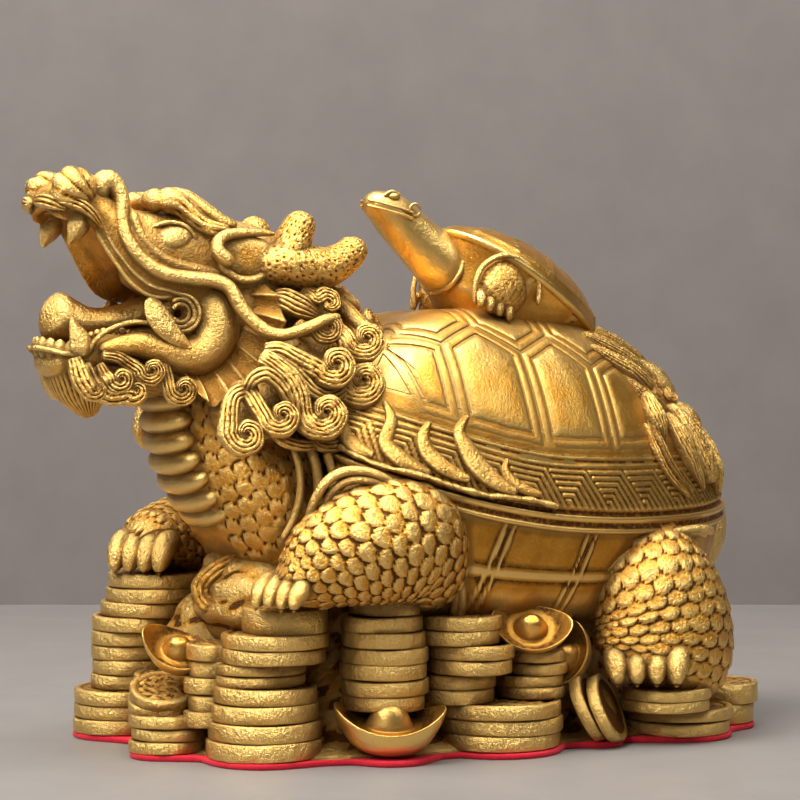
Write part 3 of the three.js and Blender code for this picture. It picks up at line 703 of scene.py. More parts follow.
# A plate: rings that follow its outline at growing insets, so that the channels keep to its edges,
# then rings drawn in to its middle. All is worked out on the unrolled dome and laid back on it.
def plateShape(outline):
    p = np.array([[float(arcOf(np.array(x), np.array(y))), y] for x, y in outline])
    area = 0.5 * np.sum(p[:, 0] * np.roll(p[:, 1], -1) - np.roll(p[:, 0], -1) * p[:, 1])
    if area < 0:
        p = p[::-1]
    step = np.roll(p, -1, 0) - p
    inward = unit(np.stack([-step[:, 1], step[:, 0]], 1))
    before = np.roll(inward, 1, 0)
    # each corner moves in along the line on which both of its edges have the same inset
    corner = (inward + before) / (1 + np.sum(inward * before, 1, keepdims=True))
    counts = np.maximum(3, np.ceil(np.linalg.norm(step, axis=1) / shell["sideStep"]).astype(int))
    side = np.repeat(np.arange(len(p)), counts)
    share = np.concatenate([np.arange(n) / n for n in counts])[:, None]

    def ring(inset):
        moved = p + corner * inset
        return moved[side] * (1 - share) + moved[(side + 1) % len(p)] * share

    insets, heights = np.array(shell["channels"]).T
    rings = [ring(0.0)] + [ring(d) for d in insets]
    levels = [-shell["closeUnder"]] + list(heights)
    inner, middle = rings[-1], rings[-1].mean(0)
    rounds = max(4, int(np.linalg.norm(inner - middle, axis=1).max() / 3.0))
    for t in np.linspace(0, 1, rounds + 1)[1:-1]:
        rings.append(inner + (middle - inner) * t)
        levels.append(heights[-1] + (shell["face"] - heights[-1]) * min(1, 2 * t))
    flat = np.stack(rings)
    level = np.array(levels)[:, None] + 0 * flat[..., 0]
    x, y = unroll(flat[..., 0], flat[..., 1])
    return closedGrid(onDome(x, y) + domeNormal(x, y) * level[..., None])


def makePlates():
    middles, flanks = ([plateShape(outline) for outline in outlines] for outlines in plateOutlines())
    makePiece("shellMiddlePlates", middles, "brushedShell")
    makePiece("shellFlankPlates", bothSides(flanks), "brushedShell")


# Channel of a given width: a smooth dip that is deepest in its middle.
def channel(distance, width):
    return -np.clip(1 - (distance / (width / 2)) ** 2, 0, 1) ** 0.6


# The band between the plates and the rim: two pairs of lines, then key-pattern blocks of nested lines
# that run along the rim and turn down it. The nested lines are the level lines of the smaller of the
# distance below the top line and the distance ahead of the slanting side.
band = {
    "columns": 720, "rows": 42, "top": 0.865, "lines": [1.9, 3.7], "lineWidth": 0.62, "lineDepth": 0.5,
    "keyTop": 4.6, "pitch": 1.5, "block": 12.6, "lean": 0.58, "keyDepth": 0.5,
    # the lip under the rim: out and down from it
    "lip": [
        [0.95, -0.2], [0.75, -0.9], [0.3, -1.6], [0.1, -2.3], [0.25, -2.9], [0.75, -3.3], [0.8, -3.8],
        [0.35, -4.2], [-0.6, -4.4], [-3.0, -4.8]],
}

def makeBand():
    columns = band["columns"]
    angle = circle(columns)
    share = 1 - (1 - band["top"]) * (1 - np.linspace(0, 1, 400)) ** 1.6
    steps = np.linalg.norm(np.diff(domePolar(angle, share[:, None]), axis=0), axis=2)
    run = np.concatenate([np.zeros((1, columns)), np.cumsum(steps, 0)])
    # even steps down the band, by arc length
    t = np.linspace(0, 1, band["rows"])
    pick = np.stack([np.interp(t * run[-1, j], run[:, j], share) for j in range(columns)], 1)
    down = t[:, None] * run[-1][None, :]
    grid = domePolar(angle, pick)
    rim = domePolar(angle, np.full(columns, 1.0))
    around = np.concatenate([[0], np.cumsum(np.linalg.norm(np.diff(rim, axis=0), axis=1))])
    whole = around[-1] + np.linalg.norm(rim[0] - rim[-1])
    blocks = round(whole / band["block"])
    along = around[None, :] / whole * blocks
    # lines run from the foot of the plates, which is a fixed share of the way out
    footRun = np.array([np.interp(shell["foot"], share, run[:, j]) for j in range(columns)])
    below = down - footRun[None, :]
    above = run[-1][None, :] - down
    relief = np.zeros_like(below)
    for line in band["lines"]:
        relief = np.minimum(relief, band["lineDepth"] * channel(below - line, band["lineWidth"]))
    depth = below - band["keyTop"]
    span = whole / blocks
    place = np.mod(along - band["lean"] * depth / span, 1) * span
    ahead = (span - place) * 0.75
    nested = np.minimum(depth + 0.5 * band["pitch"], ahead + 0.35 * band["pitch"])
    wave = 0.5 + 0.5 * np.cos(tau * nested / band["pitch"])
    key = -band["keyDepth"] * np.clip(wave * 1.7 - 0.55, 0, 1)
    inside = ramp(depth, -0.3, 0.3) * ramp(above, 1.1, 1.9)
    relief = np.where(depth > -0.3, key * inside, relief)
    relief += 0.12 * ramp(below, 0.0, 0.6) + 0.14 * wobble(grid, 9.0)
    # the rim: a thin ridge, then the lip
    edge = 0.9 * np.exp(-((above - 0.7) / 0.55) ** 2)
    grid = raised(grid, relief + edge)
    outward = unit(np.stack([np.sin(angle), -np.cos(angle), 0 * angle], 1))
    lip = np.stack([rim + outward * out + [0, 0, fall] for out, fall in band["lip"]])
    grid = np.concatenate([grid[:1] + [0, 0, -2.0], grid, lip])
    makePiece("shellBandAndRim", [closedGrid(grid)], "brushedShell")


# Under the rim: the bridge and the belly, as one bowl of [share of the way out, share of the way down],
# with double ribs at fixed places along it and one round it.
bridge = {
    "profile": [
        [0.985, 0.0], [0.975, 0.12], [0.955, 0.3], [0.92, 0.5], [0.87, 0.68], [0.78, 0.83], [0.6, 0.94],
        [0.3, 0.99], [0.02, 1.0]],
    "columns": 480, "rows": 32, "drop": 3.6, "wide": 40, "deep": 30,
    "ribs": [-18.0, 11.0, 35.5, 62.0], "pair": 2.5, "ribWidth": 0.95, "ribDepth": 0.55,
    "lean": 0.36, "leanFrom": 50, "level": 0.47, "levelDeep": 28, "levelPair": 0.9,
}

def makeBridge():
    angle = circle(bridge["columns"])
    reach, rimZ = rimAt(angle)
    wide, deep, pair = bridge["wide"], bridge["deep"], bridge["pair"]
    steps = np.linspace(0, 1, bridge["rows"]) ** 1.2
    profile, _ = evenly([[r * wide, d * deep, 0] for r, d in bridge["profile"]], steps)
    r, d = profile[:, :1] / wide, profile[:, 1:2] / deep
    top = rimZ - bridge["drop"]
    grid = np.stack([r * (reach * np.sin(angle)), shell["middleY"] - r * (reach * np.cos(angle)),
                     top + (shell["belly"] - top) * d], -1)
    lines = np.full(grid.shape[:2], 9.0)
    lean = (grid[..., 2] - bridge["leanFrom"]) * bridge["lean"]
    for rib in bridge["ribs"]:
        for side in (-0.5, 0.5):
            lines = np.minimum(lines, np.abs(grid[..., 1] - rib - lean - side * pair))
    for side in (-0.5, 0.5):
        level = (d - bridge["level"]) * bridge["levelDeep"]
        lines = np.minimum(lines, np.abs(level - side * pair * bridge["levelPair"]))
    relief = 0.10 * wobble(grid, 16.0) + bridge["ribDepth"] * channel(lines, bridge["ribWidth"])
    grid = raised(grid, relief)
    tucked = grid[:1] * [0.93, 0.93, 1] + [0, shell["middleY"] * 0.07, 1.5]
    # the bowl takes the darker copy of the brass, which paints its shade
    makePiece("bridgeAndBelly", [closedGrid(np.concatenate([tucked, grid]))], "shadedBrass")


# The dome itself shows as the floor of the channels and at the two ends, where no plate lies.
dome = {"columns": 84, "rows": 24, "reach": 0.93, "sunk": 0.35}

def makeDome():
    angle = circle(dome["columns"])
    reach = np.linspace(0.004, dome["reach"], dome["rows"])
    grid = domePolar(angle, reach[:, None]) - [0, 0, dome["sunk"]]
    makePiece("shellDome", [closedGrid(np.concatenate([grid, grid[-1:] - [0, 0, 4.0]]))], "brushedShell")


makeDome()
makePlates()
makeBand()
makeBridge()
print("shell ready")


# Legs: [x, y, z, half width, half height] along each limb, its paw, and the number and step of its scales.
# The hind legs are alike, and the arms are not.
legs = {
    "leftArm": {
        "stations": [
            [27, 2, 45, 6, 9], [32, -3.5, 48, 8.6, 12.4], [35.5, -10, 52, 10.6, 14.0],
            [36.5, -17.5, 52.8, 11.2, 14.4], [36, -25, 51.6, 10.6, 13.6], [34.2, -32, 48.8, 9.2, 11.6],
            [32.4, -37.4, 45.6, 7.4, 8.6], [31.2, -41.6, 43.6, 5.8, 5.4], [30.6, -44.6, 42.6, 4.2, 3.6]],
        "paw": {"centre": [32.0, -42.4, 42.6], "heading": -58, "count": 4, "spacing": 3.5,
                "length": 6.4, "drop": 5.4, "thick": 2.15},
        "scales": 17, "step": 3.1, "rows": 144, "columns": 170,
    },
    "rightArm": {
        "stations": [
            [-30, 2, 46, 8, 10], [-34, -8, 49, 10.5, 13], [-36, -20, 51.5, 11.6, 14.5],
            [-36, -31, 51.5, 11.4, 12.5], [-34, -41, 51, 10.4, 10], [-31, -49, 50.4, 9, 7.8],
            [-28.4, -54, 50.0, 7.4, 6.4], [-27.6, -57, 48.4, 5.4, 4.8]],
        "paw": {"centre": [-26.6, -54.4, 48.6], "heading": -46, "count": 4, "spacing": 4.0,
                "length": 6.0, "drop": 6.6, "thick": 2.9},
        "scales": 17, "step": 3.2, "rows": 72, "columns": 102,
    },
}
hindLeg = {
    "stations": [
        [20, 58, 50, 10, 11], [27, 58.5, 46.5, 12, 13.6], [32.5, 59, 39.5, 13, 17.2],
        [35.5, 60.5, 31, 12.5, 18.6], [37, 60.5, 23, 11.5, 18.4], [37.5, 59, 16.5, 10, 15.6],
        [37.5, 57, 12.5, 6, 11]],
    "paw": {"centre": [41.0, 52.2, 22.4], "heading": -32, "count": 4, "spacing": 4.9, "length": 6.4,
            "drop": 7.4, "thick": 3.1},
    "scales": 20, "step": 3.0, "rows": 124, "columns": 160,
}

# Scales all over a limb: a number of them round it and a step down it, with rows that waver a little.
def limbScales(count, step, strength, waver=0.12):
    def relief(down, angle, grid):
        across = angle / tau * count + waver * wobble(grid, 13.0)
        slide = down / (step / 0.72) + waver * wobble(grid + 40.0, 11.0)
        return fishScales(across, slide, strength) + 0.12 * wobble(grid, 7.0)
    return relief


# Toes: rounded ridges side by side, each with a claw that hooks over what the paw stands on. A toe's
# line is given as [lengths ahead, drops up, share of its thickness].
toeLine = [(-1.05, -0.05, 0.8), (-0.45, 0.2, 1.0), (0.1, 0.12, 1.1), (0.55, -0.24, 1.02), (0.8, -0.62, 0.72),
           (0.86, -0.86, 0.42), (0.84, -1.02, 0.15)]

def toeShapes(centre, heading, count, spacing, length, drop, thick):
    turn = math.radians(heading)
    ahead = np.array([math.cos(turn), math.sin(turn), 0.0])
    aside = np.array([-ahead[1], ahead[0], 0.0])
    knuckle = lambda down, angle, grid: 0.2 * wobble(grid, 3.4)
    shapes = []
    for i in range(count):
        root = np.array(centre, float) + aside * ((i - (count - 1) / 2) * spacing)
        stations = [[*(root + ahead * (length * a) + [0, 0, drop * b]), thick * w, thick * w * 1.05]
                    for a, b, w in toeLine]
        shapes.append(limb(stations, 26, 18, cap=0.12, relief=knuckle))
    return shapes


def legShape(leg, up=(0, 0, 1)):
    scales = limbScales(leg["scales"], leg["step"], 1.1)
    return limb(leg["stations"], leg["rows"], leg["columns"], up, 0.12, relief=scales)


def makeLegs():
    for name, leg in legs.items():
        makePiece(name, [legShape(leg)], "carvedBrass")
        makePiece(name + "Toes", toeShapes(**leg["paw"]), "carvedBrass")
    leg = legShape(hindLeg, (0, 1, 0))
    makePiece("leftHindLeg", [leg], "carvedBrass")
    makePiece("rightHindLeg", [mirrorShape(leg)], "carvedBrass")
    makePiece("hindToes", bothSides(toeShapes(**hindLeg["paw"])), "carvedBrass")


# Neck: a limb like the legs, and the belly plates in front of it.
neck = {
    "stations": [
        [0, -14, 46, 24, 14], [0, -23.6, 50, 26, 16], [0, -31.4, 57, 25.2, 16.8], [0, -38.2, 67, 22.3, 17.4],
        [0, -44.2, 79, 17.0, 17.2], [0, -48, 91, 13.0, 15.6], [0, -47, 103, 10, 13]],
    # outline of the belly plates on the middle plane, [y, z] from the chest up, and the plates' pitch
    "outline": [
        [-42, 46.5], [-47.6, 49.3], [-52.9, 53.2], [-56.6, 56.9], [-59.8, 61.4], [-62.6, 66.3], [-64.7, 71.2],
        [-66.2, 76.5], [-67.0, 81.4], [-67.3, 86.2], [-66.6, 91.5]],
    "pitch": 5.9, "plateHalf": 14.4, "plateTaper": 0.28, "plateDeep": 5.2, "plateHigh": 3.9,
    "plateInset": 7.2, "plateLean": 8,
    "scales": 30, "step": 3.7, "rows": 112, "columns": 200,
}

# Scales on the sides of the neck only: its front carries the belly plates, which are eggs that lie
# across the outline at the pitch and lean with it.
def makeNeck():
    sideScales = limbScales(neck["scales"], neck["step"], 0.95, 0.08)

    def relief(down, angle, grid):
        return sideScales(down, angle, grid) * (1 - ramp(np.cos(angle - math.pi / 2), 0.88, 0.95))

    shape = limb(neck["stations"], neck["rows"], neck["columns"], (0, -1, 0.25), 0.06, relief=relief)
    makePiece("neck", [shape], "carvedBrass")
    line, length = evenly([[0, y, z] for y, z in neck["outline"]], np.linspace(0, 1, 400))
    way = unit(np.gradient(line, axis=0))
    skin = lambda ball, grid: 0.12 * wobble(grid, 8.0)
    plates = []
    for i in range(int(length / neck["pitch"])):
        k = int((i + 0.5) * neck["pitch"] / length * (len(line) - 1))
        _, ahead, rise = way[k]
        centre = line[k] + np.array([0, rise, -ahead]) * neck["plateInset"]
        lean = math.degrees(math.atan2(rise, ahead)) - 90 + neck["plateLean"]
        radii = [neck["plateHalf"] - neck["plateTaper"] * i, neck["plateDeep"], neck["plateHigh"]]
        plates.append(egg(centre, radii, (lean, 0, 0), 18, 30, skin))
    makePiece("neckPlates", plates, "shadedBrass")


# Rims of the leg openings: thin double cords that follow [x, y, z] along the bridge
openings = {
    "front": [
        [28.0, -36.6, 52.0], [31.6, -36.6, 58.3], [33.8, -35.8, 63.4], [35.4, -33.6, 67.4],
        [37.0, -29.4, 69.6], [38.2, -22.8, 68.9], [38.7, -16.0, 65.1], [38.4, -7.8, 59.0], [37.8, -2.1, 51.0],
        [36.8, 1.1, 43.2], [35.2, 2.6, 37.1], [32.5, 3.0, 31.0]],
    "hind": [
        [33.5, 77.5, 52.0], [36.0, 71.9, 52.8], [37.8, 62.7, 52.2], [38.4, 53.6, 49.6], [38.0, 47.4, 46.8],
        [37.0, 42.3, 43.4], [35.6, 38.4, 39.4], [33.6, 35.4, 34.8], [31.0, 34.0, 30.0]],
    "cords": [[0.0, 1.25], [2.6, 1.05]],  # inset from the path, and half thickness
    # skin folds between the neck and the front leg, with their half thickness
    "folds": [([[24.6, -37.4, 76.0], [25.2, -36.0, 70.0], [25.6, -36.0, 64.0], [25.4, -37.6, 58.0],
                [24.4, -40.0, 53.0]], 1.0),
              ([[26.4, -33.8, 76.0], [27.0, -32.2, 69.0], [27.4, -32.2, 62.0], [27.4, -33.6, 56.0],
                [26.6, -36.0, 50.0]], 1.3),
              ([[28.4, -30.4, 74.0], [29.0, -29.0, 68.0], [29.4, -29.4, 62.0], [29.4, -31.0, 56.0]], 1.1)],
}

def makeOpenings():
    cords = []
    for path in (openings["front"], openings["hind"]):
        for inset, thick in openings["cords"]:
            toward = unit(np.mean(path, 0) - np.array(path)) * inset
            stations = [[x + 0.2 * inset + 0.15 * dx, y + dy, z + dz, thick, thick]
                        for (x, y, z), (dx, dy, dz) in zip(path, toward)]
            cords.append(limb(stations, 52, 8, (1, 0, 0.1), 0.02))
    cords += [cord(path, thick, 48, 8) for path, thick in openings["folds"]]
    makePiece("openingRims", bothSides(cords), "carvedBrass")


makeLegs()
makeNeck()
makeOpenings()
print("legs and neck ready")


# The heap: coins [radius, sideways shift] from the foot up, as in the model
heap = {
    "shiftWay": (0.47, 0.88), "edge": 0.4, "groove": 0.5, "columns": 24, "markedColumns": 38,
    "stacks": [
        {"x": 20, "y": -42, "foot": 1.5, "levels": [4.4, 4.3, 4.2, 4.0, 2.7, 2.7, 3.6, 3.6, 6.0],
         "coins": [[14.3, -0.6], [13.9, -0.5], [13.2, -0.8], [12.6, -0.8], [10.7, -1.8], [10.7, -1.5],
                   [12.6, 1.4], [12.9, 2.0], [10.5, 4.2]]},
        {"x": 2, "y": -60, "foot": 1.5, "top": 10.5, "coins": [[9.4, 0], [9.2, 0.3], [9.4, -0.2]]},
        {"x": -34, "y": -55, "foot": 1.5, "top": 42,
         "coins": [[13, -2], [13, -1.6], [13, -2], [10.5, 0], [10.5, 0.4], [10.4, 0], [11, 0.6],
                   [12.0, 1.6], [12.6, 4.8], [12.6, 5.8], [12.4, 6.6]]},
        {"x": 11, "y": -51.4, "foot": 8, "top": 28,
         "coins": [[7.2, -0.6], [7.0, 0], [7.2, -0.4], [6.8, 0], [7.0, -0.3]]},
        {"x": 29, "y": -15.5, "foot": 12, "top": 38.5,
         "coins": [[10.0, 0], [10.5, 0.4], [10.7, 0], [10.6, 0.4], [10.3, 0], [9.7, -0.4], [8.4, 0.4]]},
        {"x": 31, "y": 15, "foot": 1.5, "top": 12.8, "coins": [[15.8, 0], [15.6, 0.4], [15.8, -0.2]]},
        {"x": 30, "y": 4, "foot": 12.8, "top": 34,
         "coins": [[9.5, 0], [9.3, 0.4], [11, 3], [11, 3.4], [11, 0], [10.8, 0.4]]},
        {"x": 32, "y": 24, "foot": 12.8, "top": 24.5,
         "coins": [[8.6, 0], [8.4, -0.4], [7.6, 1.4], [7.6, 1.2]]},
        {"x": 31, "y": 67.5, "foot": 1.5, "top": 8, "coins": [[14.4, 0], [14.2, 0.4]]},
        {"x": 38, "y": 60, "foot": 8, "top": 14, "coins": [[11, 0], [11.2, 0.4]]},
        {"x": 23, "y": 86, "foot": 1.5, "top": 12, "coins": [[11, -1], [10.2, 1]]},
        {"x": -28, "y": -20, "foot": 1.5, "top": 34,
         "coins": [[13, 0], [13.2, 0.4], [12, 0.6], [12.2, 0], [11, 0.4], [11.2, 0.2], [10, 0], [10, 0.3]]},
        {"x": -29, "y": 12, "foot": 1.5, "top": 24,
         "coins": [[14, 0], [13.8, 0.4], [13, 0.6], [10, 0], [10.2, 0.4], [10, 0]]},
        {"x": -31, "y": 40, "foot": 1.5, "top": 12, "coins": [[13, 0], [12.8, 0.4], [12, 0.6]]},
        {"x": -32, "y": 66, "foot": 1.5, "top": 12, "coins": [[13, 0], [12.8, 0.4], [12, 0.6]]},
        {"x": -12, "y": 87, "foot": 1.5, "top": 10, "coins": [[12, 0], [11, 0.6]]},
        {"x": -15, "y": -50, "foot": 1.5, "top": 18,
         "coins": [[12, 0], [11.8, 0.4], [11.4, 0.6], [11.2, 0.2], [11, 0]]},
    ],
    # coins that lean: middle, turn, radius, and whether strokes show on the face
    "leaning": [([36.8, 38.4, 9.6], (0, 66, 45), 9.0, False), ([38.6, 42.0, 9.3], (0, 66, 45), 9.0, False),
                ([-1, -60.4, 12.4], (0, 13, -28), 8.6, False), ([0.2, -60.6, 15.4], (0, 20, -20), 8.3, True)],
    "ingots": [
        {"centre": [36, -17.5, 9.2], "length": 27, "turn": [12, 2, 64]},
        {"centre": [38, 20.5, 30.5], "length": 20, "turn": [54, 6, 60]},
        {"centre": [5, -58.6, 26], "length": 19, "turn": [40, 18, 55]},
        {"centre": [33, 34, 22], "length": 18, "turn": [40, -62, 66]},
    ],
}

# A coin: a disc with a rounded edge, a raised rim on its face and rows of shallow strokes inside it,
# which are the larger of two crossing sine waves. It is a little out of round and out of level.
def coinShape(x, y, foot, top, radius, marked, seed, place=None):
    e = min(heap["edge"], 0.3 * (top - foot))
    profile = [[0.02, foot], [radius - 1.3, foot], [radius - heap["groove"], foot + 0.02],
               [radius - 0.45 * e, foot + 0.32 * e], [radius, foot + e], [radius + 0.05, (foot + top) / 2],
               [radius, top - e], [radius - 0.45 * e, top - 0.3 * e], [radius - 1.0 * e, top],
               [radius - 1.5, top], [radius - 1.8, top - 0.35]]
    rings = 12 if marked else 2
    profile += [[(radius - 2.0) * (1 - t), top - 0.4] for t in np.linspace(0, 0.97, rings)]
    phase = np.random.default_rng(seed).uniform(0, tau, 4)

    def lay(grid):
        turn = np.arctan2(grid[..., 1], grid[..., 0])
        flaw = (0.22 * np.sin(2 * turn + phase[0]) + 0.12 * np.sin(5 * turn + phase[1])
                + 0.06 * np.sin(11 * turn + phase[2]))
        r = np.hypot(grid[..., 0], grid[..., 1])
        grid = grid.copy()
        grid[..., :2] *= (1 + flaw * ramp(r, radius * 0.5, radius) / np.maximum(r, 1))[..., None]
        bent = 0.07 * np.sin(4 * turn + phase[1]) * ramp(r, radius * 0.7, radius)
        grid[..., 2] += 0.12 * np.sin(turn + phase[3]) + bent
        if marked:
            u, v = grid[..., 0], grid[..., 1]
            strokes = np.maximum(np.sin(2.1 * u + 1.3 * np.sin(1.1 * v)), np.sin(2.3 * v + np.sin(1.7 * u)))
            onFace = (r < radius - 2.2) * (grid[..., 2] > (foot + top) / 2)
            grid[..., 2] += 0.45 * ramp(strokes, 0.2, 0.9) * onFace
        return grid + [x, y, 0] if place is None else place(grid)

    return turned(profile, heap["markedColumns" if marked else "columns"], lay)


# The stacks: each coin takes an even share of its stack's height, unless the stack gives their heights.
# A face that the next coin leaves open carries the strokes.
def makeCoins():
    ax, ay = heap["shiftWay"]
    for n, stack in enumerate(heap["stacks"]):
        coins = stack["coins"]
        if "levels" in stack:
            edges = stack["foot"] + np.concatenate([[0], np.cumsum(stack["levels"])])
        else:
            edges = np.linspace(stack["foot"], stack["top"], len(coins) + 1)
        shapes = []
        for i, (radius, shift) in enumerate(coins):
            marked = i == len(coins) - 1 or radius > coins[i + 1][0] + 1.5
            shapes.append(coinShape(stack["x"] + shift * ax, stack["y"] + shift * ay, edges[i],
                                    edges[i + 1] - 0.05, radius, marked, 100 * n + i))
        makePiece(f"coinStack{n + 1:02d}", shapes, "coinBrass")
    shapes = []
    for n, (centre, angles, radius, marked) in enumerate(heap["leaning"]):
        lean = lambda grid, turn=turnMatrix(*angles), centre=centre: grid @ turn.T + centre
        shapes.append(coinShape(0, 0, -1.5, 1.5, radius, marked, 900 + n, lean))
    makePiece("leaningCoins", shapes, "coinBrass")


# An ingot: a boat whose two ends curl up, with a round hump in its middle. Its profile is for a half
# length of 1. Outside the hump the section narrows to 0.64 and rises by 0.36 |x|^2.2.
ingotProfile = [[0.0, 0.40], [0.16, 0.38], [0.3, 0.25], [0.4, 0.05], [0.44, -0.03], [0.6, -0.02],
                [0.85, 0.03], [0.97, 0.06], [1.0, 0.02], [0.985, -0.05], [0.93, -0.18], [0.8, -0.33],
                [0.55, -0.43], [0.25, -0.46], [0.0, -0.46]]

def makeIngots():
    shapes = []
    for ingot in heap["ingots"]:
        def lay(grid, half=ingot["length"] / 2, turn=turnMatrix(*ingot["turn"]), centre=ingot["centre"]):
            flat = ramp(np.hypot(grid[..., 0], grid[..., 1]), 0.42, 0.9)
            x, y = grid[..., 0], grid[..., 1] * (0.64 + 0.2 * (1 - flat))
            rise = 0.36 * np.abs(x) ** 2.2 * flat - 0.05 * flat
            place = np.stack([x, y, grid[..., 2] + rise], -1) * half
            place = place + 0.1 * wobble(place, 9.0)[..., None]
            return place @ turn.T + centre
        shapes.append(turned(throughPoints(ingotProfile, 56), 32, lay))
    makePiece("ingots", shapes, "brushedShell")


# The rough fill between the coins: a drum with the heap's plan, a superellipse, that narrows upwards and
# is lumpy all over. Folds lie over it under the chest, with one knot in front.
mound = {
    "half": 38.5, "front": -58.0, "back": 88.0, "foot": 1.5, "top": 36.0, "squareness": 0.72,
    "narrowing": 0.30, "step": 0.13, "columns": 120, "rows": 26,
    "chest": [[2, -37, 37], [20, 14, 13], (0, 0, 0), 34, 52],
    "lump": [[-8, -44, 22], [13, 10.5, 17], (0, 0, 20), 28, 42],
    "knot": [[[6.0, -40.0, 46.0], [6.4, -44.6, 47.0], [6.0, -49.0, 45.0]], [5.0, -48.2, 39.2], 6.6, 150,
             (0.86, -0.5, 0.1), 1.75, 3, 1.5],
}

def makeMound():
    angle = circle(mound["columns"])
    t = np.linspace(0, 1, mound["rows"])
    front, back, foot = mound["front"], mound["back"], mound["foot"]
    squared = lambda v: np.sign(v) * np.abs(v) ** mound["squareness"]
    narrow = 1 - mound["step"] * ramp(t[:, None], 0.0, 0.14) - mound["narrowing"] * t[:, None] ** 0.9
    x = mound["half"] * squared(np.cos(angle))[None, :] * narrow
    y = (front + back) / 2 + (back - front) / 2 * squared(np.sin(angle))[None, :] * narrow
    z = foot + (mound["top"] - foot) * t[:, None] + 0 * angle[None, :]
    grid = np.stack([x, y, z], -1)
    cap = grid[-1:] * [0.6, 0.6, 1] + [0, 0.4 * (front + back) / 2, 1.0]
    grid = np.concatenate([grid, cap])
    lumps = 1.3 * wobble(grid, 15.0) + 0.8 * wobble(grid + 9, 5.5) + 0.3 * np.abs(wobble(grid, 2.4))
    lumps[:2] = 0
    grid = raised(grid, lumps - 0.6)
    grid[..., 2] = np.maximum(grid[..., 2], foot)

    def folds(ball, g):
        pleats = np.abs(np.sin(0.5 * g[..., 2] + 0.9 * wobble(g, 9.0)))
        return 1.2 * wobble(g, 12.0) + 1.1 * pleats + 0.4 * wobble(g, 3.6)

    chest, lump = (egg(*mound[name], folds) for name in ("chest", "lump"))
    makePiece("moundOfTheHeap", [closedGrid(grid), chest, lump, curl(*mound["knot"])], "carvedBrass")


makeCoins()
makeIngots()
makeMound()
print("heap ready")


# Head: the upper jaw is an arch, given as [y, top, lip, half width, palate] from the front
jaws = {
    "upper": [
        [-91.6, 135.2, 130.6, 6.0, 131.6], [-90.4, 136.6, 129.0, 8.6, 131.2],
        [-87.0, 137.8, 128.2, 9.8, 132.6], [-83.4, 138.0, 127.6, 10.4, 132.4],
        [-80.5, 137.6, 123.6, 10.6, 130.4], [-77.5, 136.2, 119.0, 11.1, 126.6],
        [-74.0, 133.8, 114.6, 11.9, 122.6], [-70.0, 132.0, 111.6, 12.8, 118.8],
        [-65.0, 131.4, 109.9, 13.6, 116.0], [-59.0, 131.6, 108.6, 14.0, 114.0],
        [-52.0, 131.0, 108.0, 14.0, 113.5], [-46.0, 130.0, 108.0, 13.4, 113.5]],
    "farSag": 2.6,  # the right lip hangs a little lower at the bend
    "lowerJaw": [
        [0, -40, 95.5, 14, 9], [0, -56, 96.5, 13.2, 8], [0, -68, 98.0, 11.8, 6.6], [0, -78, 97.2, 10.6, 6.0],
        [0, -85, 95.6, 9.7, 5.0], [0, -90.0, 96.2, 7.6, 4.2], [0, -92.4, 97.0, 4.6, 3.0]],
    "tongue": [
        [0, -50, 107, 6, 4], [0, -62, 108.0, 8, 3.8], [0, -72, 105.6, 8, 3.4], [0, -79, 104.6, 7.4, 3.8],
        [0, -85, 105.2, 6.8, 5.4], [0, -89.2, 106.8, 6.2, 6.0], [0, -91.4, 107.6, 4.6, 5.2]],
    "skull": [
        [0, -26, 112, 12, 12], [0, -34, 113.5, 14, 14], [0, -44, 116, 14.6, 14.2], [0, -54, 118.5, 13.4, 13],
        [0, -62, 121, 11.5, 10.6], [0, -70, 123.5, 10, 8.5]],
    # rows, columns and the share of the length that is rounded off
    "grids": {"skull": (40, 40, 0.08), "lowerJaw": (64, 54, 0.06), "tongue": (50, 30, 0.1)},
}

def makeJaws():
    loops = []
    for y, top, lip, half, palate in jaws["upper"]:
        high, rise = top - lip, palate - lip
        side = [[0.6 * half, top - 0.05 * high], [0.92 * half, top - 0.3 * high], [half, lip + 0.36 * high],
                [half + 0.1, lip + 0.12 * high], [half - 0.5, lip], [half - 1.5, lip + 0.35 * rise],
                [0.62 * half, palate - 0.25 * rise]]
        sag = jaws["farSag"] * math.exp(-((y + 76) / 7) ** 2)
        far = [[-x, z - sag * (top - z) / high] for x, z in side[::-1]]
        ring = [[0, top]] + side + [[0, palate - 0.5 * sag]] + far
        loops.append([[x, y, z] for x, z in ring])
    arch = lofted(loops, 78, 78)
    makePiece("upperJaw", [closedGrid(raised(arch, 0.12 * wobble(arch, 6.0)))], "carvedBrass")
    smooth = lambda down, angle, grid: 0.14 * wobble(grid, 7.0)
    for name, (rows, columns, cap) in jaws["grids"].items():
        makePiece(name, [limb(jaws[name], rows, columns, cap=cap, relief=smooth)], "carvedBrass")


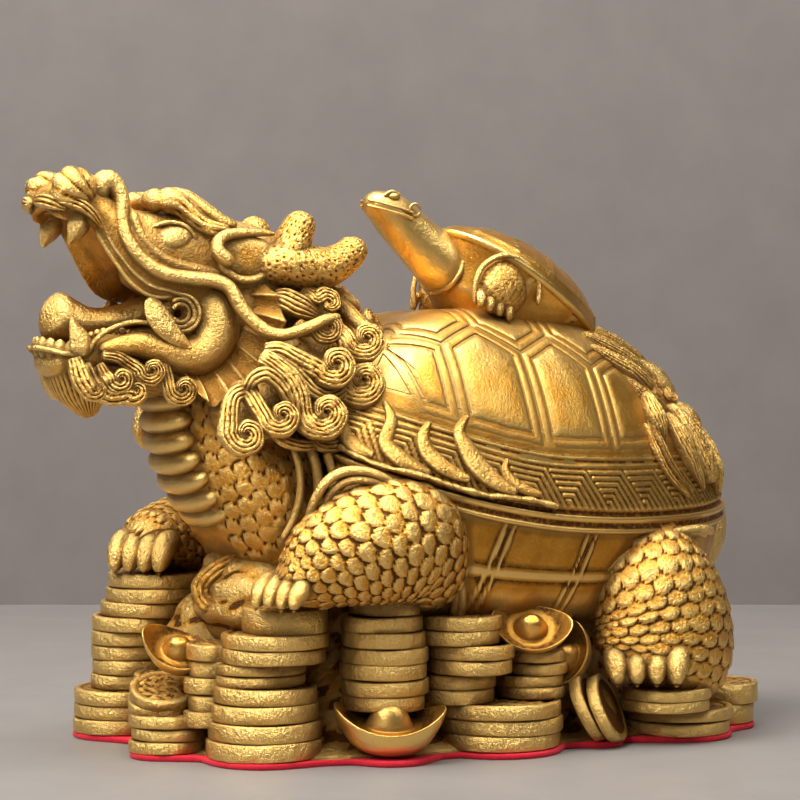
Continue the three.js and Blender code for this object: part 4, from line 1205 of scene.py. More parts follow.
# The small parts of the face on its left side: the right side is their mirror image.
face = {
    "whisker": [
        [7.0, -79.4, 133.0, 2.0, 2.2], [6.8, -79.3, 136.2, 2.7, 2.9], [6.8, -77.6, 138.0, 2.9, 3.1],
        [7.4, -75.8, 136.9, 2.5, 2.6], [8.2, -74.9, 135.2, 2.1, 2.2], [8.8, -74.6, 133.3, 1.9, 1.9],
        [10.0, -75.1, 128.7, 1.8, 1.8], [11.2, -74.2, 124.1, 1.85, 1.85], [12.2, -71.0, 119.5, 1.9, 1.9],
        [13.4, -66.0, 116.2, 1.9, 1.95], [14.4, -59.7, 115.1, 1.85, 1.95], [15.6, -53.8, 114.6, 1.8, 1.9],
        [16.8, -50.5, 112.9, 1.75, 1.85], [18.2, -48.0, 108.3, 1.7, 1.8], [19.8, -45.2, 104.6, 1.65, 1.75],
        [21.6, -42.0, 102.2, 1.6, 1.7], [23.2, -38.4, 101.8, 1.5, 1.6], [24.2, -33.6, 103.4, 1.4, 1.5],
        [24.6, -28.8, 105.4, 1.3, 1.4], [24.0, -24.4, 106.3, 0.9, 1.0]],
    "flankRoll": [
        [8.4, -72.6, 132.0, 1.0, 1.6], [9.2, -72.2, 129.0, 1.6, 2.2], [9.8, -71.0, 125.4, 1.9, 2.4],
        [10.6, -68.3, 121.8, 2.0, 2.5], [11.6, -64.0, 119.0, 2.0, 2.4], [12.6, -59.2, 117.4, 1.9, 2.2],
        [13.2, -53.6, 116.4, 1.7, 2.0], [13.4, -48.0, 115.4, 1.2, 1.6]],
    "lip": [
        [9.4, -86.0, 128.6], [9.7, -83.6, 128.9], [9.9, -81.7, 126.7], [10.3, -80.6, 124.4],
        [10.7, -79.0, 121.6], [11.1, -76.7, 118.3], [11.6, -74.6, 115.3], [12.1, -72.7, 113.2],
        [12.6, -69.8, 111.3], [13.1, -67.0, 110.5], [13.4, -63.6, 110.7]],
    "upperLip": [
        [9.9, -81.0, 129.6], [10.4, -79.4, 126.0], [10.9, -77.8, 122.8], [11.5, -75.5, 119.6],
        [12.1, -73.1, 116.6], [12.7, -70.6, 114.4], [13.2, -67.9, 112.9], [13.7, -64.7, 112.2],
        [14.3, -61.2, 110.9], [14.8, -58.7, 107.9], [14.9, -58.8, 105.2], [14.6, -61.0, 104.0]],
    "hole": [13.9, -61.9, 106.9], "holeRings": [2.15, 3.3, 4.4],
    # eggs: middle, radii, turn, rows and columns
    "corner": ([10.2, -60.8, 106.4], [4.0, 6.4, 6.6], (0, 0, 0), 32, 44),
    "temple": ([8.6, -44.0, 108.4], [7.0, 8.4, 8.0], (0, 0, 0), 30, 42),
    "eyeball": ([10.2, -62.8, 124.0], [3.6, 5.9, 4.0], (14, 0, -8), 28, 36),
    "earCup": ([13.4, -45.0, 120.4], [2.6, 8.6, 5.4], (0, 0, -6), 24, 34),
    "brow": [
        [4.4, -67.4, 132.4, 1.4, 1.6], [5.8, -66.2, 133.6, 2.6, 2.6], [7.4, -64.4, 133.8, 3.2, 3.1],
        [8.6, -61.8, 133.6, 2.9, 2.8], [9.8, -59.0, 131.8, 2.3, 2.3], [11.0, -56.0, 128.6, 2.1, 2.0],
        [12.0, -52.6, 126.8, 2.0, 1.9], [12.8, -48.6, 126.6, 1.3, 1.3]],
    "browRoll": [
        [3.2, -63.4, 134.2, 1.4, 1.4], [4.8, -61.2, 135.2, 2.1, 1.9], [6.6, -58.4, 135.0, 2.3, 2.0],
        [7.8, -55.6, 133.4, 2.2, 1.8], [9.2, -52.4, 131.0, 2.0, 1.7], [10.4, -49.4, 128.8, 1.8, 1.6],
        [11.4, -46.0, 127.8, 1.1, 1.1]],
    "lids": [[[9.8, -70.2, 124.8], [11.0, -67.0, 127.4], [11.8, -63.2, 128.4], [12.4, -59.6, 127.4],
              [12.6, -57.0, 124.4]],
             [[10.4, -69.4, 124.4], [12.0, -66.0, 121.8], [12.9, -62.6, 120.6], [13.2, -59.2, 120.2],
              [12.9, -57.2, 122.2], [12.6, -56.8, 124.4]]],
    "earRim": [
        [15.4, -49.4, 117.8, 1.0, 1.1], [15.8, -50.6, 119.4, 1.9, 2.1], [15.4, -52.6, 121.6, 1.7, 2.0],
        [14.8, -52.4, 124.0, 1.5, 1.8], [14.4, -50.0, 125.6, 1.4, 1.5], [14.2, -46.4, 126.2, 1.2, 1.3],
        [14.0, -42.0, 126.4, 1.0, 1.1], [13.6, -36.8, 126.2, 0.6, 0.7]],
    "earEdge": [
        [15.2, -52.4, 119.6, 0.8, 0.8], [15.6, -50.6, 116.8, 1.0, 1.0], [15.6, -47.2, 115.0, 1.1, 1.1],
        [15.4, -43.0, 115.2, 1.0, 1.0], [14.6, -39.6, 117.0, 0.9, 0.9], [13.8, -37.4, 120.2, 0.5, 0.5]],
    "hornRear": [
        [9.5, -41.0, 118.5, 5, 6.0], [12.0, -35.0, 118.8, 5.8, 6.8], [13.2, -29.0, 118.2, 5.8, 6.4],
        [13.8, -23.4, 118.4, 5.0, 5.6], [13.8, -18.6, 120.6, 4.2, 4.6], [13.6, -15.4, 123.4, 3.6, 3.8],
        [13.4, -13.8, 125.4, 2.9, 3.0]],
    "hornFront": [
        [11.2, -34.6, 117.0, 5.6, 6.6], [12.0, -33.0, 121.4, 5.2, 6.2], [12.6, -31.4, 125.4, 4.4, 5.2],
        [13.0, -29.8, 129.2, 3.7, 4.0], [13.0, -28.8, 131.8, 3.0, 3.2]],
    "tusk": [
        [12.8, -69.4, 110.6, 1.0, 0.7], [13.6, -68.6, 108.4, 2.4, 1.0], [14.4, -67.2, 105.4, 3.0, 1.2],
        [15.0, -64.6, 102.2, 2.5, 1.1], [15.3, -61.6, 99.8, 1.5, 0.8], [15.3, -58.8, 97.8, 0.4, 0.4]],
    "fang": [
        [8.8, -84.8, 130.6, 2.6, 1.6], [9.4, -85.4, 128.0, 2.9, 2.0], [9.5, -86.4, 125.8, 2.3, 1.7],
        [9.3, -87.2, 124.2, 1.3, 1.0], [9.0, -87.9, 122.6, 0.3, 0.3]],
    "canine": [
        [9.6, -84.8, 96.6, 2.4, 1.6], [9.9, -85.0, 98.8, 3.1, 1.9], [9.9, -85.8, 101.2, 2.5, 1.6],
        [9.7, -86.8, 103.6, 1.4, 1.0], [9.5, -87.5, 105.8, 0.3, 0.3]],
    # the cheek and the roll along the jaw are one form
    "cheek": [
        [10.8, -81.2, 98.2, 0.9, 1.0], [11.0, -78.7, 98.9, 1.7, 2.0], [11.2, -76.1, 99.2, 2.4, 2.6],
        [11.4, -71.0, 99.3, 3.2, 3.2], [11.4, -65.8, 98.1, 4.0, 4.0], [11.2, -60.6, 96.9, 4.9, 4.8],
        [11.0, -55.6, 97.7, 5.9, 5.8], [10.8, -52.3, 101.5, 6.4, 6.4], [10.6, -52.0, 106.4, 6.2, 6.2],
        [10.4, -53.4, 110.2, 5.4, 5.4], [10.2, -55.0, 113.0, 3.0, 3.6]],
    "lowerLip": [
        [0.0, -94.0, 98.6], [3.4, -93.4, 98.6], [6.6, -91.4, 98.0], [9.0, -88.4, 97.2], [10.1, -84.4, 97.0],
        [10.6, -82.2, 100.0], [11.0, -79.7, 102.3], [11.6, -76.4, 103.9], [12.2, -72.8, 104.7],
        [12.8, -68.8, 104.5], [13.2, -65.6, 104.4]],
}

def makeFace():
    smooth = lambda down, angle, grid: 0.10 * wobble(grid, 5.0)
    sides = lambda name, shapes, finish="carvedBrass": makePiece(name, bothSides(shapes), finish)
    sides("whiskers", [limb(face["whisker"], 112, 14, (1, 0, 0.2), 0.02, relief=smooth)])
    sides("snoutRolls", [limb(face["flankRoll"], 54, 22, (1, 0, 0.1), relief=smooth)])
    sides("lips", [cord(face["lip"], 0.55, 80), cord(face["upperLip"], 0.6, 90)])

    # the corner of the mouth: a hole in an egg, with open rings round it
    x, y, z = face["hole"]
    rings = []
    for n, r in enumerate(face["holeRings"]):
        turns = np.radians(np.linspace(-150 + 24 * n, 160 - 30 * n, 14))
        ring = [[x + 0.5 + 0.5 * n * math.cos(a), y + r * math.cos(a), z + r * math.sin(a)] for a in turns]
        rings.append(cord(ring, 0.55, 34, 7))

    def hole(ball, grid):
        far = (grid[..., 1] - y) ** 2 + (grid[..., 2] - z) ** 2
        return -3.0 * np.exp(-far / 2.6) * (grid[..., 0] > 6)

    cheek = limb(face["cheek"], 60, 28, (1, 0, 0), 0.04, relief=lambda down, angle, g: 0.12 * wobble(g, 9.0))
    temple = egg(*face["temple"], lambda ball, g: 0.1 * wobble(g, 4.0))
    sides("cheeks", [cheek, egg(*face["corner"], hole), temple] + rings)
    sides("eyes", [egg(*face["eyeball"])] + [cord(lid, 0.6) for lid in face["lids"]])

    def browFolds(down, angle, grid):
        pleats = 0.55 * np.abs(np.sin(4 * angle + 0.2 * down)) * ramp(down, 4.5, 8)
        return pleats - 0.5 * np.exp(-((down - 5.0) / 0.8) ** 2) + 0.14 * wobble(grid, 3.0)

    def rollFolds(down, angle, grid):
        return 0.3 * np.abs(np.sin(5 * angle)) * ramp(down, 5, 9) + 0.08 * wobble(grid, 4.0)

    sides("brows", [limb(face["brow"], 42, 24, (0.3, 0, 1), relief=browFolds),
                    limb(face["browRoll"], 42, 24, (0.3, 0, 1), relief=rollFolds)])

    def cup(ball, grid):
        far = ball[..., 1] ** 2 + ball[..., 2] ** 2
        return -0.9 * np.exp(-far / 0.6) * (ball[..., 0] > 0) + 0.1 * wobble(grid, 4.0)

    sides("ears", [egg(*face["earCup"], cup), limb(face["earRim"], 54, 16, (1, 0, 0.2), relief=smooth),
                   limb(face["earEdge"], 44, 14, (1, 0, 0.2), relief=smooth)])

    def pitted(down, angle, grid):
        return pits(angle / tau * 24, down / 1.5, 0.24) + 0.1 * wobble(grid, 5.0)

    sides("horns", [limb(face["hornRear"], 74, 86, (1, 0, 0), 0.1, relief=pitted),
                    limb(face["hornFront"], 50, 80, (1, 0, 0), 0.16, relief=pitted)])
    sides("fangsAndTusks", [limb(face["tusk"], 36, 18, (1, 0, 0), 0.05, 1.4),
                            limb(face["fang"], 26, 14, (1, 0, 0), 0.03, 1.7),
                            limb(face["canine"], 26, 14, (1, 0, 0), 0.03, 1.7)], "coinBrass")
    sides("lowerLips", [cord(face["lowerLip"], 0.6, 80)])


# Teeth: small rounded blocks round the front of the lower jaw, pebbles behind the canine. The gum is an
# arc: half its width, the y and the reach of its front, its height and how far it falls to the sides.
teeth = {"count": 9, "fan": 140, "gum": [8.7, -84.4, 8.0, 98.9, 1.2], "pebble": [10.2, -82.6, 101.6]}

def makeTeeth():
    half, y, ahead, high, fall = teeth["gum"]
    shapes = []
    for i in range(teeth["count"]):
        turn = math.radians(teeth["fan"] * (i / (teeth["count"] - 1) - 0.5))
        gum = [half * math.sin(turn), y - ahead * math.cos(turn), high - fall * math.sin(turn) ** 2]
        shapes.append(egg(gum, [1.6, 1.0, 2.5], (0, 0, math.degrees(turn)), 14, 14))
    x, y, z = teeth["pebble"]
    for i in range(teeth["count"]):
        place = [x + 0.14 * i - 0.5, y + 1.5 * i, z + 1.15 * math.sin(i * 0.45)]
        shapes += bothSides([egg(place, [0.8, 0.9 + 0.15 * math.sin(3 * i), 0.9], (10, 0, 0), 10, 12)])
    makePiece("teeth", shapes, "carvedBrass")


# Nose tufts, chin beard and the curls along the jaw.
beard = {
    "chin": [
        [0, -85.6, 98.0, 8.8, 5.4], [0, -84.2, 94.4, 8.8, 6.0], [0, -82.4, 90.6, 7.8, 6.0],
        [0, -80.8, 87.0, 5.8, 4.8], [0, -80.0, 84.4, 3.6, 3.0], [0, -79.4, 82.2, 1.2, 1.0]],
    "under": [
        [0, -86, 92.5, 9, 4.2], [0, -78, 92.4, 10.8, 4.6], [0, -70, 92.2, 12, 5.0], [0, -62, 91.5, 12.4, 5.2],
        [0, -54, 90.5, 12, 5.2]],
    # stem, centre, radius, start angle of the winding, outward direction, turns, strands, bulge
    "curls": [
        ([[10.6, -81.0, 95.0], [11.4, -79.9, 92.2]], [12.6, -76.6, 91.6], 4.4, 185,
         (0.97, -0.2, -0.05), 1.75, 3, 1.2),
        ([[10.8, -80.6, 97.0], [11.8, -77.2, 96.6], [12.2, -74.6, 95.2]], [13.2, -69.0, 93.6], 4.9, 180,
         (0.97, -0.2, -0.05), 1.75, 4, 1.2),
        ([[9.8, -84.6, 95.0], [10.8, -82.6, 90.0], [12.0, -79.4, 87.2]], [13.0, -73.0, 88.8], 4.6, 215,
         (0.97, -0.2, -0.05), 1.2, 3, 0.8),
        ([[13.0, -66.0, 95.6], [13.2, -65.6, 92.6]], [14.2, -61.4, 89.2], 5.2, 180,
         (0.97, -0.2, -0.05), 1.75, 4, 1.2),
        ([[9.0, -86.6, 96.4], [10.0, -85.6, 92.2]], [11.4, -81.6, 89.6], 4.6, 190,
         (0.9, -0.4, -0.1), 1.0, 4, 0.8),
    ],
    "tuft": ([8.4, -86.5, 135.6], [3.8, 5.4, 5.1], (0, 0, 12), 38, 64),
    "fanFrom": [-80.4, 130.8],  # y and z of the point beside the nostril that the tuft's grooves leave
    # locks: stations, strands, thickness, depth of the strands, rows, columns, outward direction
    "tuftLocks": [
        ([[9.6, -91.0, 132.8, 0.8], [10.6, -88.4, 132.6, 1.4], [11.2, -85.2, 131.4, 1.5],
          [11.4, -82.4, 129.4, 1.2], [11.4, -80.2, 126.6, 0.4]], 3, 0.7, 0.4, 38, 22, (1, -0.4, 0.2)),
        ([[2.0, -93.4, 133.0, 0.9], [5.0, -92.8, 133.0, 1.6], [8.4, -91.0, 132.4, 1.7],
          [10.4, -88.4, 131.2, 0.8]], 3, 0.7, 0.4, 32, 20, (0.4, -1, 0.1)),
    ],
}

def makeBeard():
    def chinStrands(down, angle, grid):
        comb = np.sin(17 * angle + 1.1 * np.sin(down * 0.35) + 0.5 * wobble(grid, 5.0))
        return 0.42 * np.abs(comb) ** 0.8 + 0.15 * wobble(grid, 5.0)

    def underStrands(down, angle, grid):
        comb = np.sin(1.9 * grid[..., 2] + 0.9 * grid[..., 0] + 1.5 * np.sin(0.35 * grid[..., 1]))
        return 0.4 * np.abs(comb) + 0.2 * wobble(grid, 5.0)

    makePiece("chinBeard", [limb(beard["chin"], 42, 130, (0, -1, 0.3), 0.05, relief=chinStrands),
                            limb(beard["under"], 46, 56, cap=0.08, relief=underStrands)], "carvedBrass")
    makePiece("jawCurls", bothSides([curl(*entry) for entry in beard["curls"]]), "carvedBrass")

    def fan(ball, grid):
        y, z = beard["fanFrom"]
        turn = np.arctan2(grid[..., 2] - z, y - grid[..., 1])
        comb = np.sin(9.5 * turn + 0.25 * grid[..., 0] + 0.3 * wobble(grid, 5.0))
        return 0.55 * np.abs(comb) ** 0.8 + 0.25 * wobble(grid, 3.0)

    tufts = [egg(*beard["tuft"], fan)] + [lock(*entry) for entry in beard["tuftLocks"]]
    makePiece("noseTufts", bothSides(tufts), "carvedBrass")


# The frill under the cheek: a pleated sheet between two edges, drawn out to a point at each pleat.
frill = {
    "inner": [
        [12.0, -61.0, 93.4], [12.6, -57.0, 92.6], [13.2, -53.0, 94.0], [13.6, -49.6, 96.6],
        [13.8, -47.4, 99.6], [14.0, -46.0, 102.4], [13.8, -45.4, 106.4], [12.8, -46.0, 110.4],
        [11.4, -47.6, 113.6]],
    "outer": [
        [16.0, -60.4, 90.6], [17.0, -57.6, 86.6], [17.6, -55.0, 84.4], [18.0, -52.2, 86.8],
        [18.6, -48.6, 87.6], [19.2, -45.6, 86.2], [19.8, -43.0, 89.4], [20.4, -41.0, 93.0],
        [20.6, -39.4, 97.0], [20.2, -38.2, 101.4], [19.0, -37.6, 106.0], [17.2, -38.2, 110.4],
        [14.6, -40.0, 114.0]],
    "pleats": 7.5, "wave": 1.25, "thick": 1.6, "rows": 124, "across": 20,
}

def makeFrill():
    share = np.linspace(0, 1, frill["rows"])
    inner, _ = evenly(frill["inner"], share)
    outer, _ = evenly(frill["outer"], share)
    t = np.linspace(0, 1, frill["across"])[None, :, None]
    front = inner[:, None] * (1 - t) + outer[:, None] * t
    pleat = np.abs(np.sin(np.pi * frill["pleats"] * share + 0.3)) ** 0.7
    wave = frill["wave"] * (1 - 2 * pleat)[:, None, None]
    front = front + np.array([1.0, -0.1, 0.1]) * (1.9 * np.sin(np.pi * 0.62 * t) + wave * t ** 0.45)
    back = front[:, ::-1] - np.array([frill["thick"], 0, -0.3])
    makePiece("frills", bothSides([closedGrid(np.concatenate([front, back], 1))]), "carvedBrass")


# The mane on the left side: [stem], centre, radius, start angle of the winding, strands.
mane = {
    "curls": [
        ([[23.0, -46.4, 89.0], [24.4, -49.8, 88.4], [25.2, -53.4, 86.6]], [26.4, -50.8, 78.2], 6.7, 168, 4),
        ([[23.6, -50.4, 89.0], [25.6, -48.9, 87.0]], [28.0, -42.4, 82.4], 6.4, 180, 4),
        ([[24.0, -46.0, 96.6], [25.8, -42.9, 94.8], [27.4, -39.6, 91.6], [28.0, -38.0, 87.9]],
         [28.6, -31.4, 83.0], 8.2, 180, 5),
        ([[22.4, -44.0, 97.6], [24.2, -41.1, 98.0], [25.8, -38.1, 96.6]], [27.0, -28.0, 94.6], 7.2, 200, 4),
        ([[23.0, -30.0, 94.6], [24.2, -28.6, 93.4]], [26.4, -20.4, 90.6], 8.2, 188, 5),
        ([[20.6, -25.0, 106.0], [22.0, -25.2, 103.4]], [24.8, -18.8, 100.6], 7.2, 178, 5),
        ([[20.0, -34.2, 105.0], [20.8, -32.8, 103.2]], [22.4, -27.4, 103.4], 5.0, 185, 4),
    ],
    # locks that lie between the curls: [x, y, z, half width]
    "between": [
        [[25.0, -50.4, 87.4, 1.0], [26.2, -48.8, 91.0, 1.7], [26.8, -45.6, 92.4, 1.9],
         [27.4, -42.4, 90.4, 1.9], [28.0, -40.4, 87.2, 1.9], [28.2, -39.0, 83.6, 1.6],
         [28.2, -37.6, 80.4, 0.8]],
        [[24.0, -45.0, 95.0, 1.0], [25.8, -41.6, 94.8, 1.5], [27.2, -38.8, 93.4, 1.7],
         [28.2, -36.3, 90.6, 1.7], [28.8, -34.0, 88.2, 1.7], [28.8, -30.6, 86.8, 1.6],
         [28.4, -27.2, 87.8, 1.6], [27.8, -24.8, 90.4, 1.4], [27.2, -24.0, 93.4, 0.7]],
        [[25.8, -44.4, 80.0, 0.8], [27.0, -41.4, 76.8, 1.4], [27.6, -37.4, 75.6, 1.5],
         [27.6, -33.4, 75.6, 1.3], [27.0, -30.0, 76.6, 0.6]],
        [[27.0, -35.0, 78.4, 0.8], [28.0, -32.0, 75.4, 1.4], [28.4, -27.6, 75.4, 1.6],
         [28.0, -23.8, 78.0, 1.5], [27.6, -21.4, 81.6, 0.7]],
        [[26.4, -27.0, 85.4, 0.8], [27.4, -23.6, 82.8, 1.5], [27.8, -19.8, 82.4, 1.6],
         [27.0, -16.0, 84.6, 1.4], [26.0, -14.0, 88.0, 0.6]],
    ],
    "leaf": [
        [15.4, -38.4, 110.6, 1.4], [16.8, -36.4, 110.2, 3.0], [17.8, -33.0, 108.8, 3.2],
        [18.6, -29.8, 107.0, 2.2], [19.0, -27.4, 105.6, 0.6]],
    # curls with more of their own: outward direction, turns, strands, bulge, way of winding
    "crown": ([[15.0, -31.0, 109.0], [16.4, -29.6, 111.4]], [18.4, -25.6, 109.0], 4.8, 150,
              (0.9, 0, 0.35), 1.5, 4, 1.4, -1),
    "back": [([[3, -30, 116.5], [5, -24, 115.5]], [7.5, -17.0, 110.5], 6.6, 200, (0.35, 0.6, 0.7)),
             ([[8, -24, 114], [11, -20, 111]], [15.5, -14.0, 104.0], 6.8, 200, (0.6, 0.6, 0.5))],
    "masses": [[[0, -25, 99], [17.5, 14, 15], (0, 0, 0)], [[9.5, -32, 91], [15.2, 15.5, 13], (0, 0, 6)],
               [[13.5, -43, 84], [11.5, 11, 9], (0, 0, 10)], [[14, -22, 90], [11.5, 9, 11], (0, 0, 0)]],
}

def makeMane():
    def comb(ball, grid):
        strands = np.sin(1.25 * (grid[..., 2] + 0.55 * grid[..., 1]) + 1.6 * wobble(grid, 16.0))
        return 0.5 * np.abs(strands) + 0.8 * wobble(grid, 13.0)

    masses = [egg(*mass, 26, 42, comb) for mass in mane["masses"]]
    makePiece("maneMass", masses[:1] + bothSides(masses[1:]), "carvedBrass")
    shapes = [curl(*place, strands=strands) for *place, strands in mane["curls"]]
    shapes.append(curl(*mane["crown"]))
    shapes += [lock(path, 3, 0.6, 0.32, 48, 22, (0.95, -0.1, 0.2)) for path in mane["between"]]
    shapes.append(lock(mane["leaf"], 5, 0.5, 0.5, 40, 30, (1, 0, 0.3)))
    makePiece("maneCurls", bothSides(shapes), "carvedBrass")
    makePiece("maneBack", bothSides([curl(*entry, rows=60) for entry in mane["back"]]), "carvedBrass")


makeJaws()
makeFace()
makeTeeth()
makeBeard()
makeFrill()
makeMane()
print("head and mane ready")


# Flames along the front of the rim, and a wavy ribbon that joins their feet
flames = {
    "blades": [
        [[30.6, -16.2, 86.2, 0.3], [33.1, -15.5, 81.5, 1.3], [34.3, -17.5, 76.3, 1.9],
         [36.0, -15.7, 72.9, 2.1], [37.4, -11.5, 70.2, 1.6], [38.6, -7.5, 68.6, 0.8]],
        [[34.8, -5.9, 81.1, 0.3], [35.8, -8.3, 77.6, 1.4], [37.0, -7.9, 73.8, 2.0], [38.4, -5.4, 70.8, 2.0],
         [39.4, -1.4, 68.4, 1.5], [40.2, 2.2, 67.0, 0.7]],
        [[35.1, 4.4, 82.5, 0.3], [36.4, 1.2, 78.4, 1.4], [37.9, 2.6, 74.1, 2.3], [39.6, 4.9, 69.8, 2.6],
         [40.8, 9.1, 66.2, 2.0], [41.6, 14.6, 63.6, 0.9]],
        [[38.7, 13.3, 72, 0.2], [39.5, 12.2, 69.2, 0.9], [40.6, 13.5, 66.3, 1.4], [41.4, 17.1, 64.2, 1.2],
         [41.8, 21.2, 62.9, 0.5]],
        [[24.5, -24.0, 84.0, 0.3], [27.5, -24.5, 80.0, 1.4], [29.5, -25.5, 77.6, 1.9],
         [31.8, -24.0, 75.0, 1.8], [34.0, -20.5, 73.0, 0.9]],
    ],
    "ribbon": [
        [24.7, -27.0, 76.6], [29.4, -26.4, 74.6], [33.4, -23.2, 72.6], [36.2, -18.0, 70.4],
        [38.4, -10.5, 67.8], [40.0, -2.5, 65.6], [41.0, 6.0, 63.8], [41.7, 13.5, 62.2], [42.0, 20.0, 61.2],
        [42.2, 26.0, 60.4]],
}

def makeFlames():
    def ridges(down, angle, grid):  # two low ridges along each face of a blade
        fromMiddle = np.abs(np.abs(np.mod(angle, tau) - math.pi) - math.pi / 2)
        return 0.3 * np.exp(-((fromMiddle - 1.2) / 0.25) ** 2)

    foam = lambda down, angle, grid: 0.5 * wobble(grid, 4.6) + 0.22 * wobble(grid, 2.2)
    shapes = []
    for blade in flames["blades"]:
        stations = [[*p, 0.75 + 0.22 * p[3]] for p in blade]
        shapes.append(limb(stations, 38, 18, (0.95, 0, 0.4), 0.03, relief=ridges))
    ribbon = [[x, y, z + 0.5 * math.sin(1.9 * i), 1.5 + 0.3 * math.sin(2.3 * i), 0.8]
              for i, (x, y, z) in enumerate(flames["ribbon"])]
    shapes.append(limb(ribbon, 100, 12, cap=0.02, relief=foam))
    makePiece("flames", bothSides(shapes), "carvedBrass")


makeFlames()


# Small turtle on the back: its shell is built level and tilted head up about its own middle
young = {
    "middle": (0.0, 37.2, 114.8), "tilt": -33.5, "half": 19.0, "long": 27.0, "columns": 132,
    "rows": 66, "pitch": 11.0, "middlePlate": 8.5, "sway": 1.2, "ribs": [-4.0, 12.5],
    "profile": [
        [0, 12.0], [0.3, 11.6], [0.5, 10.6], [0.68, 8.6], [0.82, 6.2], [0.92, 3.7], [0.975, 1.9], [1.0, 0.9],
        [1.01, 0.3], [0.99, -0.3], [0.955, -0.9], [0.95, -1.4], [0.93, -2.2], [0.9, -3.6], [0.85, -6.0],
        [0.79, -9.5], [0.73, -12.5], [0.5, -16.5], [0, -18.0]],
    "neck": [
        [0, 30, 113, 9, 9], [0, 22, 117.5, 8.8, 8.8], [0, 15.4, 121.6, 7.6, 7.4], [0, 10.0, 125.8, 6.3, 6.4],
        [0, 5.2, 129.9, 5.7, 5.9], [0, 1.6, 133.0, 5.8, 5.3], [0, -1.8, 134.8, 5.0, 4.1],
        [0, -4.4, 135.4, 3.6, 2.9], [0, -6.0, 135.4, 1.8, 1.6]],
    # cords: points, half thickness, rows
    "mouth": [([[1.6, -5.9, 134.9], [3.6, -4.0, 134.2], [5.0, -1.0, 133.3], [5.8, 2.4, 132.4],
                [6.0, 5.4, 131.4]], 0.4, 36),
              ([[1.8, -5.7, 136.2], [3.8, -3.8, 135.6], [5.0, -0.8, 134.7], [5.7, 2.6, 133.8],
                [5.8, 5.6, 132.8]], 0.4, 36)],
    "lid": ([[4.0, -2.2, 137.2], [4.4, -0.2, 138.3], [4.6, 2.0, 137.6]], 0.45, 30),
    "folds": [([[0, 14.0, 112.8], [6.4, 15.4, 114.6], [8.4, 17.6, 118.6], [6.4, 19.8, 124.4],
                [2.0, 21.0, 126.8]], 0.7, 40),
              ([[0, 17.0, 110.6], [7.2, 18.2, 112.8], [9.4, 20.4, 117.4], [7.6, 22.4, 123.4]], 0.7, 36)],
    "arch": ([[16.0, 17.4, 109.6], [16.4, 17.2, 115.0], [16.8, 19.6, 119.8], [17.0, 25.4, 122.3],
              [17.4, 31.0, 120.6], [17.8, 34.8, 115.4], [17.6, 34.8, 109.6]], 0.75, 48, 8),
    "eye": ([4.0, 0.6, 137.0], [1.3, 1.7, 1.2], (0, 0, 0), 18, 24),
    "ear": [5.5, 5.9, 133.8], "earRadius": 1.5,
    "arm": ([14.8, 26.0, 114.0], [4.2, 7.2, 7.0], (0, 0, 8), 38, 58),
    # the first claw, and the step in y and z to the next at each of its stations
    "claw": [[15.6, 19.0, 113.4, 1.1, 1.2], [17.6, 18.2, 111.6, 1.1, 1.3], [17.8, 17.8, 109.0, 0.6, 0.7]],
    "clawSteps": [[2.6, -0.8], [2.7, -1.0], [2.8, -1.1]],
}

